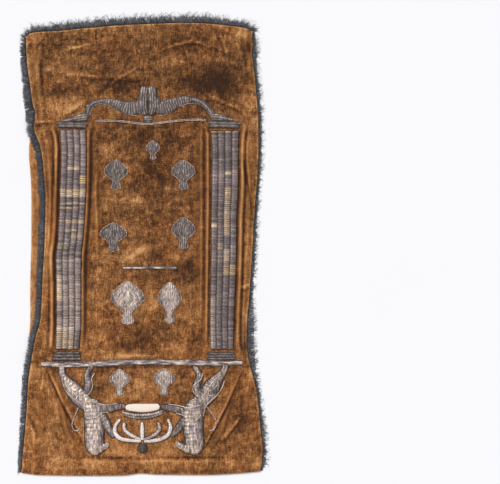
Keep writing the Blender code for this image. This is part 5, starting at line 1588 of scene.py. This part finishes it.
def shaft_part(rows, bands, seed):
    """A shaft of reeds: across it the height is the sine of the place within each reed, to a power.

    Along it each laid thread is a shallow ridge, and the reeds' threads are a little out of step.
    """
    top, bottom = rows[0].y, rows[-1].y
    count = round((top - bottom) / THREAD_PITCH * THREAD_STEPS)
    y_line = np.linspace(bottom, top, count + 1)
    left = column_of(rows, "y", "left", y_line)
    right = column_of(rows, "y", "right", y_line)
    share = np.linspace(0, 1, REEDS * REED_POINTS + 1)
    reed = np.clip(np.floor(share * REEDS), 0, REEDS - 1).astype(int)
    within = share * REEDS - reed
    draw = np.random.default_rng(seed)
    wobble = SHAFT_WOBBLE * noise(y_line, y_line * 0, WOBBLE_PITCH, WOBBLE_PITCH, seed + 1)
    x = left[:, None] + share * (right - left)[:, None] + wobble[:, None] * np.sin(share * math.pi)
    y = np.repeat(y_line[:, None], len(share), axis=1)
    phase = draw.uniform(0, 1, REEDS)[reed]
    turns = (y + THREAD_SLANT * (within - 0.5)) / THREAD_PITCH + phase
    thread = 0.5 - 0.5 * np.cos(2 * math.pi * turns)
    number = np.floor(turns + 0.5).astype(int)
    tones = draw.normal(0, REED_TONES, (REEDS, THREAD_COUNT)) + draw.normal(0, THREAD_TONES, THREAD_COUNT)
    cloud = CLOUD_TONE * noise(x, y, CLOUD_ACROSS, CLOUD_ALONG, seed + 5)
    tone = SHAFT_TONE + tones[reed[None, :], number % THREAD_COUNT] + cloud
    gold = np.zeros_like(x)
    for band in bands:
        inside = (reed + 1 >= band.first) & (reed + 1 <= band.last)
        below = step_up(band.high + BAND_SPILL - y, BAND_BLEND)
        along = below * step_up(y - band.low + BAND_SPILL, BAND_BLEND)
        alternate = GILT_EVEN + (1 - GILT_EVEN) * np.cos(math.pi * number)
        gold = np.maximum(gold, band.gold * along * inside * alternate)
        lit = LIGHT_EVEN + (1 - LIGHT_EVEN) * alternate
        tone = tone + band.light * BAND_LIGHT * along * inside * lit
    crown = np.sin(np.clip(within, 0, 1) * math.pi) ** REED_POWER
    z = velvet_top(x, y) + SEAT + WALL + REED_FOOT + REED_RISE * crown - THREAD_DEPTH * thread * crown
    foot = velvet_top(x[:, [0, -1]], y[:, [0, -1]]) + SEAT
    ends = np.stack([x[:, [0, -1]], y[:, [0, -1]], foot], axis=2)
    rings = np.concatenate([np.stack([x, y, z], axis=2), ends[:, 1:], ends[:, :1]], axis=1)
    # edge paints shade on each reed's sides, towards the grooves between reeds; thread paints shade in the
    # grooves between laid threads.
    edge = np.broadcast_to(np.abs(2 * within - 1) ** REED_SHADE_POWER, x.shape)
    marks = {"tone": tone, "gold": gold, "edge": edge, "thread": thread}
    closed = {key: np.concatenate([each, each[:, -1:], each[:, :1]], axis=1) for key, each in marks.items()}
    return closed_loft(rings, closed)


class MANTLE_OT_shafts(bpy.types.Operator):
    """Lay the two reeded column shafts in couched metal thread"""

    bl_idname = "mantle.shafts"
    bl_label = "Column shafts"

    def execute(self, context):
        finish = couched_finish("couched_thread", context.scene.mantle_thread)
        for name, rows, bands, seed in (
            ("column_shaft_left", LEFT_SHAFT, LEFT_BANDS, 41),
            ("column_shaft_right", RIGHT_SHAFT, RIGHT_BANDS, 47),
        ):
            part = shaft_part(rows, bands, seed)
            lay_piece(name + "_thread", [part], finish, [name])
        return {"FINISHED"}


def lay_limbs(name, limbs, finish, slot, tones=None, **shape):
    tones = tones or (0.0,) * len(limbs)
    parts = [limb(rows, lower=LAYER_LIFT * i, tone=tones[i], **shape) for i, rows in enumerate(limbs)]
    lay_piece(name + "_work", parts, finish, [name])


def lay_outlines(name, limbs, finish, radius, tone, blunt=False):
    lay_piece(name + "_edging", [outline_tube(rows, radius, tone, blunt) for rows in limbs], finish)


class MANTLE_OT_column_ends(bpy.types.Operator):
    """Lay the capitals, the bases, the long bar and the thin dash"""

    bl_idname = "mantle.column_ends"
    bl_label = "Capitals, bases and bars"

    def execute(self, context):
        thread = context.scene.mantle_thread
        capital = padded_finish("capital_thread", thread)
        bar = padded_finish("bar_thread", thread)
        dark = padded_finish("edging_thread", thread)
        for name, limbs in COLUMN_ENDS.items():
            lay_limbs(name, limbs, capital, "metal_thread", ribs=0.2, pitch=1.9, blunt=True)
            lay_outlines(name, limbs, dark, radius=0.5, tone=-0.1, blunt=True)
        for name, limbs in BARS.items():
            lay_limbs(
                name, limbs, bar, "metal_thread", cords=0.35, cord_pitch=2.4, ribs=0.12, pitch=2.2,
                blunt=True)
            lay_outlines(name, limbs, dark, radius=0.5, tone=0.05, blunt=True)
        return {"FINISHED"}


class MANTLE_OT_pediment(bpy.types.Operator):
    """Lay the pediment's shell, wings, knob and scrolls"""

    bl_idname = "mantle.pediment"
    bl_label = "Pediment"

    def execute(self, context):
        thread = context.scene.mantle_thread
        finish = padded_finish("pediment_thread", thread)
        edging = padded_finish("pediment_edging", thread)
        pale = padded_finish("pediment_rim", thread)
        for name, limbs in PEDIMENT.items():
            if name in ("pediment_wing_left", "pediment_wing_right"):
                shape = {"ribs": 1.1, "pitch": 4.6, "power": 0.42}
            else:
                shape = {"cords": 0.9, "cord_pitch": 4.4, "ribs": 0.12, "pitch": 2.0}
            lay_limbs(name, limbs, finish, "metal_thread", **shape)
            lay_outlines(name, limbs, edging, radius=0.5, tone=0.0)
        rims = [laid_cord(places, RIM_RADIUS) for places in PEDIMENT_RIMS]
        lay_piece("pediment_rims", rims, pale)
        return {"FINISHED"}


class MANTLE_OT_lions(bpy.types.Operator):
    """Lay the pair of padded lions with their fine cords"""

    bl_idname = "mantle.lions"
    bl_label = "Lions"

    def execute(self, context):
        thread = context.scene.mantle_thread
        finish = padded_finish("lion_thread", thread)
        edging = padded_finish("lion_edging", thread)
        cream = padded_finish("lion_cord_thread", thread)
        for name, limbs in LIONS.items():
            lay_limbs(name, limbs, finish, "metal_thread", tones=LION_TONES[name], ribs=0.3, pitch=2.4)
            lay_outlines(name, limbs, edging, radius=0.8, tone=-0.1)
        for name, cords in LION_CORDS.items():
            limbs = LIONS[name.removesuffix("_cords")]
            parts = [laid_cord(places, LION_CORD_RADIUS, limbs) for places in cords]
            lay_piece(name, parts, cream)
        return {"FINISHED"}


class MANTLE_OT_crown(bpy.types.Operator):
    """Lay the crown: cream patch, band, arches and bead"""

    bl_idname = "mantle.crown"
    bl_label = "Crown"

    def execute(self, context):
        thread = context.scene.mantle_thread
        arches = padded_finish("crown_satin", thread)
        band = padded_finish("crown_band_thread", thread)
        bead = padded_finish("bead_thread", thread)
        edging = padded_finish("crown_edging", thread)
        patch = woven_finish("patch_weave", thread)
        finishes = {
            "crown_patch": (patch, "cream_cloth"), "crown_bead": (bead, "dark_thread"),
            "crown_band": (band, "metal_thread"),
        }
        for name, limbs in CROWN.items():
            finish, slot = finishes.get(name, (arches, "metal_thread"))
            depth = 0.04 if name == "crown_patch" else 0.2
            lay_limbs(name, limbs, finish, slot, tones=CROWN_TONES.get(name), ribs=depth, pitch=2.2)
            lay_outlines(name, limbs, edging, radius=0.45, tone=0.0)
        return {"FINISHED"}


class MANTLE_OT_cords(bpy.types.Operator):
    """Lay the beaded double cord and the thin tail cords"""

    bl_idname = "mantle.cords"
    bl_label = "Cords"

    def execute(self, context):
        finish = padded_finish("cord_thread", context.scene.mantle_thread)
        for name, places in CORDS.items():
            fine, run, side = limb_frame([Section(place.x, place.y, 1, 1) for place in places], BEAD_STEP)
            bead = BEAD_LEAST + BEAD_MORE * np.abs(np.sin(run * math.pi / BEAD_LONG))
            # thread paints shade in the narrow necks between beads.
            marks = {"tone": 0.0, "edge": 0.0, "thread": (1 - bead)[:, None]}
            offsets, radius = TWIN_CORD if name == "entablature_cord" else SINGLE_CORD
            parts = []
            for offset in offsets:
                plan = fine[:, :2] + side * offset
                path = np.column_stack([plan, velvet_top(plan[:, 0], plan[:, 1]) + BEAD_LEVEL])
                parts.append(tube(path, bead * radius, marks, BEAD_SIDES))
            lay_piece(name + "_work", parts, finish, [name])
        return {"FINISHED"}


class MANTLE_OT_motifs(bpy.types.Operator):
    """Lay the plain bud motifs in satin thread"""

    bl_idname = "mantle.motifs"
    bl_label = "Bud motifs"

    def execute(self, context):
        thread = context.scene.mantle_thread
        dark = padded_finish("bud_satin_dark", thread)
        light = padded_finish("bud_satin_light", thread)
        edging = padded_finish("bud_edging", thread)
        for motif in MOTIFS:
            rows = [
                Section(motif.x, motif.y + at.along * motif.tall, at.width * motif.wide,
                        MOTIF_RISE * (MOTIF_LEAST + at.width))
                for at in MOTIF_STATIONS
            ]
            finish = light if motif.name in LIGHT_MOTIFS else dark
            lay_limbs(
                motif.name, (rows,), finish, "metal_thread", cords=0.5, cord_pitch=3.4, ribs=0.2, pitch=2.4)
            lay_outlines(motif.name, (rows,), edging, radius=0.75, tone=0.0)
        return {"FINISHED"}


class MANTLE_OT_stage(bpy.types.Operator):
    """Set out the plain floor, the soft light and the camera straight above"""

    bl_idname = "mantle.stage"
    bl_label = "Floor, light and camera"

    def execute(self, context):
        light = context.scene.mantle_light
        half = light.floor_size / 2
        mesh = bpy.data.meshes.new("studio_floor")
        corners = [(-half, -half, 0), (half, -half, 0), (half, half, 0), (-half, half, 0)]
        mesh.from_pydata(corners, [], [(0, 1, 2, 3)])
        paint, tree, shader = new_finish("studio_paper")
        pale = tuple(light.floor_colour)
        cool = (pale[0] * FLOOR_COOL, pale[1] * FLOOR_COOL, pale[2])
        feed_all(tree, shader, {
            "Base Color": mixed(tree, grain(tree, PAPER_GRAIN), pale, cool), "Roughness": 0.9,
            "Specular IOR Level": 0.1,
        })
        mesh.materials.append(paint)
        floor = bpy.data.objects.new("studio_floor", mesh)
        context.scene.collection.objects.link(floor)

        sun = bpy.data.lights.new("key_light", "SUN")
        sun.energy = light.sun
        sun.angle = light.sun_angle
        lamp = bpy.data.objects.new("key_light", sun)
        lamp.rotation_euler = (math.radians(SUN_TILT[0]), math.radians(SUN_TILT[1]), 0)
        context.scene.collection.objects.link(lamp)

        world = bpy.data.worlds.new("soft_room")
        world.use_nodes = True
        world.node_tree.nodes["Background"].inputs["Color"].default_value = ROOM_COLOUR
        world.node_tree.nodes["Background"].inputs["Strength"].default_value = light.sky
        context.scene.world = world
        context.scene.view_settings.view_transform = "Standard"

        lens = bpy.data.cameras.new("overhead")
        lens.sensor_width = SENSOR_WIDE
        above_cloth = light.camera_height - LEVEL * MM
        lens.lens = SENSOR_WIDE * above_cloth / (PHOTO_WIDE * PHOTO_MM * MM)
        camera = bpy.data.objects.new("overhead", lens)
        camera.location = (
            ((PHOTO_ACROSS - PLAN_ACROSS) * PHOTO_MM + PLAN_X) * MM,
            ((PLAN_DOWN - PHOTO_DOWN) * PHOTO_MM + PLAN_Y) * MM,
            light.camera_height,
        )
        context.scene.collection.objects.link(camera)
        context.scene.camera = camera
        return {"FINISHED"}


OPERATORS = (
    MANTLE_OT_stage, MANTLE_OT_fringes, MANTLE_OT_shafts, MANTLE_OT_column_ends, MANTLE_OT_pediment,
    MANTLE_OT_lions, MANTLE_OT_crown, MANTLE_OT_cords, MANTLE_OT_motifs, MANTLE_OT_back_velvet,
    MANTLE_OT_front_velvet,
)


class MANTLE_PT_panel(bpy.types.Panel):
    """The mantle's steps and settings in the sidebar"""

    bl_idname = "MANTLE_PT_panel"
    bl_label = "Velvet mantle"
    bl_space_type = "VIEW_3D"
    bl_region_type = "UI"
    bl_category = "Mantle"

    def draw(self, context):
        for operator in OPERATORS:
            self.layout.operator(operator.bl_idname)
        for group in (context.scene.mantle_cloth, context.scene.mantle_thread, context.scene.mantle_light):
            box = self.layout.box()
            for key in group.__annotations__:
                box.prop(group, key)


CLASSES = (MantleCloth, MantleThread, MantleLight, *OPERATORS, MANTLE_PT_panel)


def register():
    for made in CLASSES:
        bpy.utils.register_class(made)
    bpy.types.Scene.mantle_cloth = bpy.props.PointerProperty(type=MantleCloth)
    bpy.types.Scene.mantle_thread = bpy.props.PointerProperty(type=MantleThread)
    bpy.types.Scene.mantle_light = bpy.props.PointerProperty(type=MantleLight)


def unregister():
    del bpy.types.Scene.mantle_light
    del bpy.types.Scene.mantle_thread
    del bpy.types.Scene.mantle_cloth
    for made in reversed(CLASSES):
        bpy.utils.unregister_class(made)


def main():
    register()
    for operator in OPERATORS:
        group, action = operator.bl_idname.split(".")
        getattr(getattr(bpy.ops, group), action)()


if __name__ == "__main__":
    main()
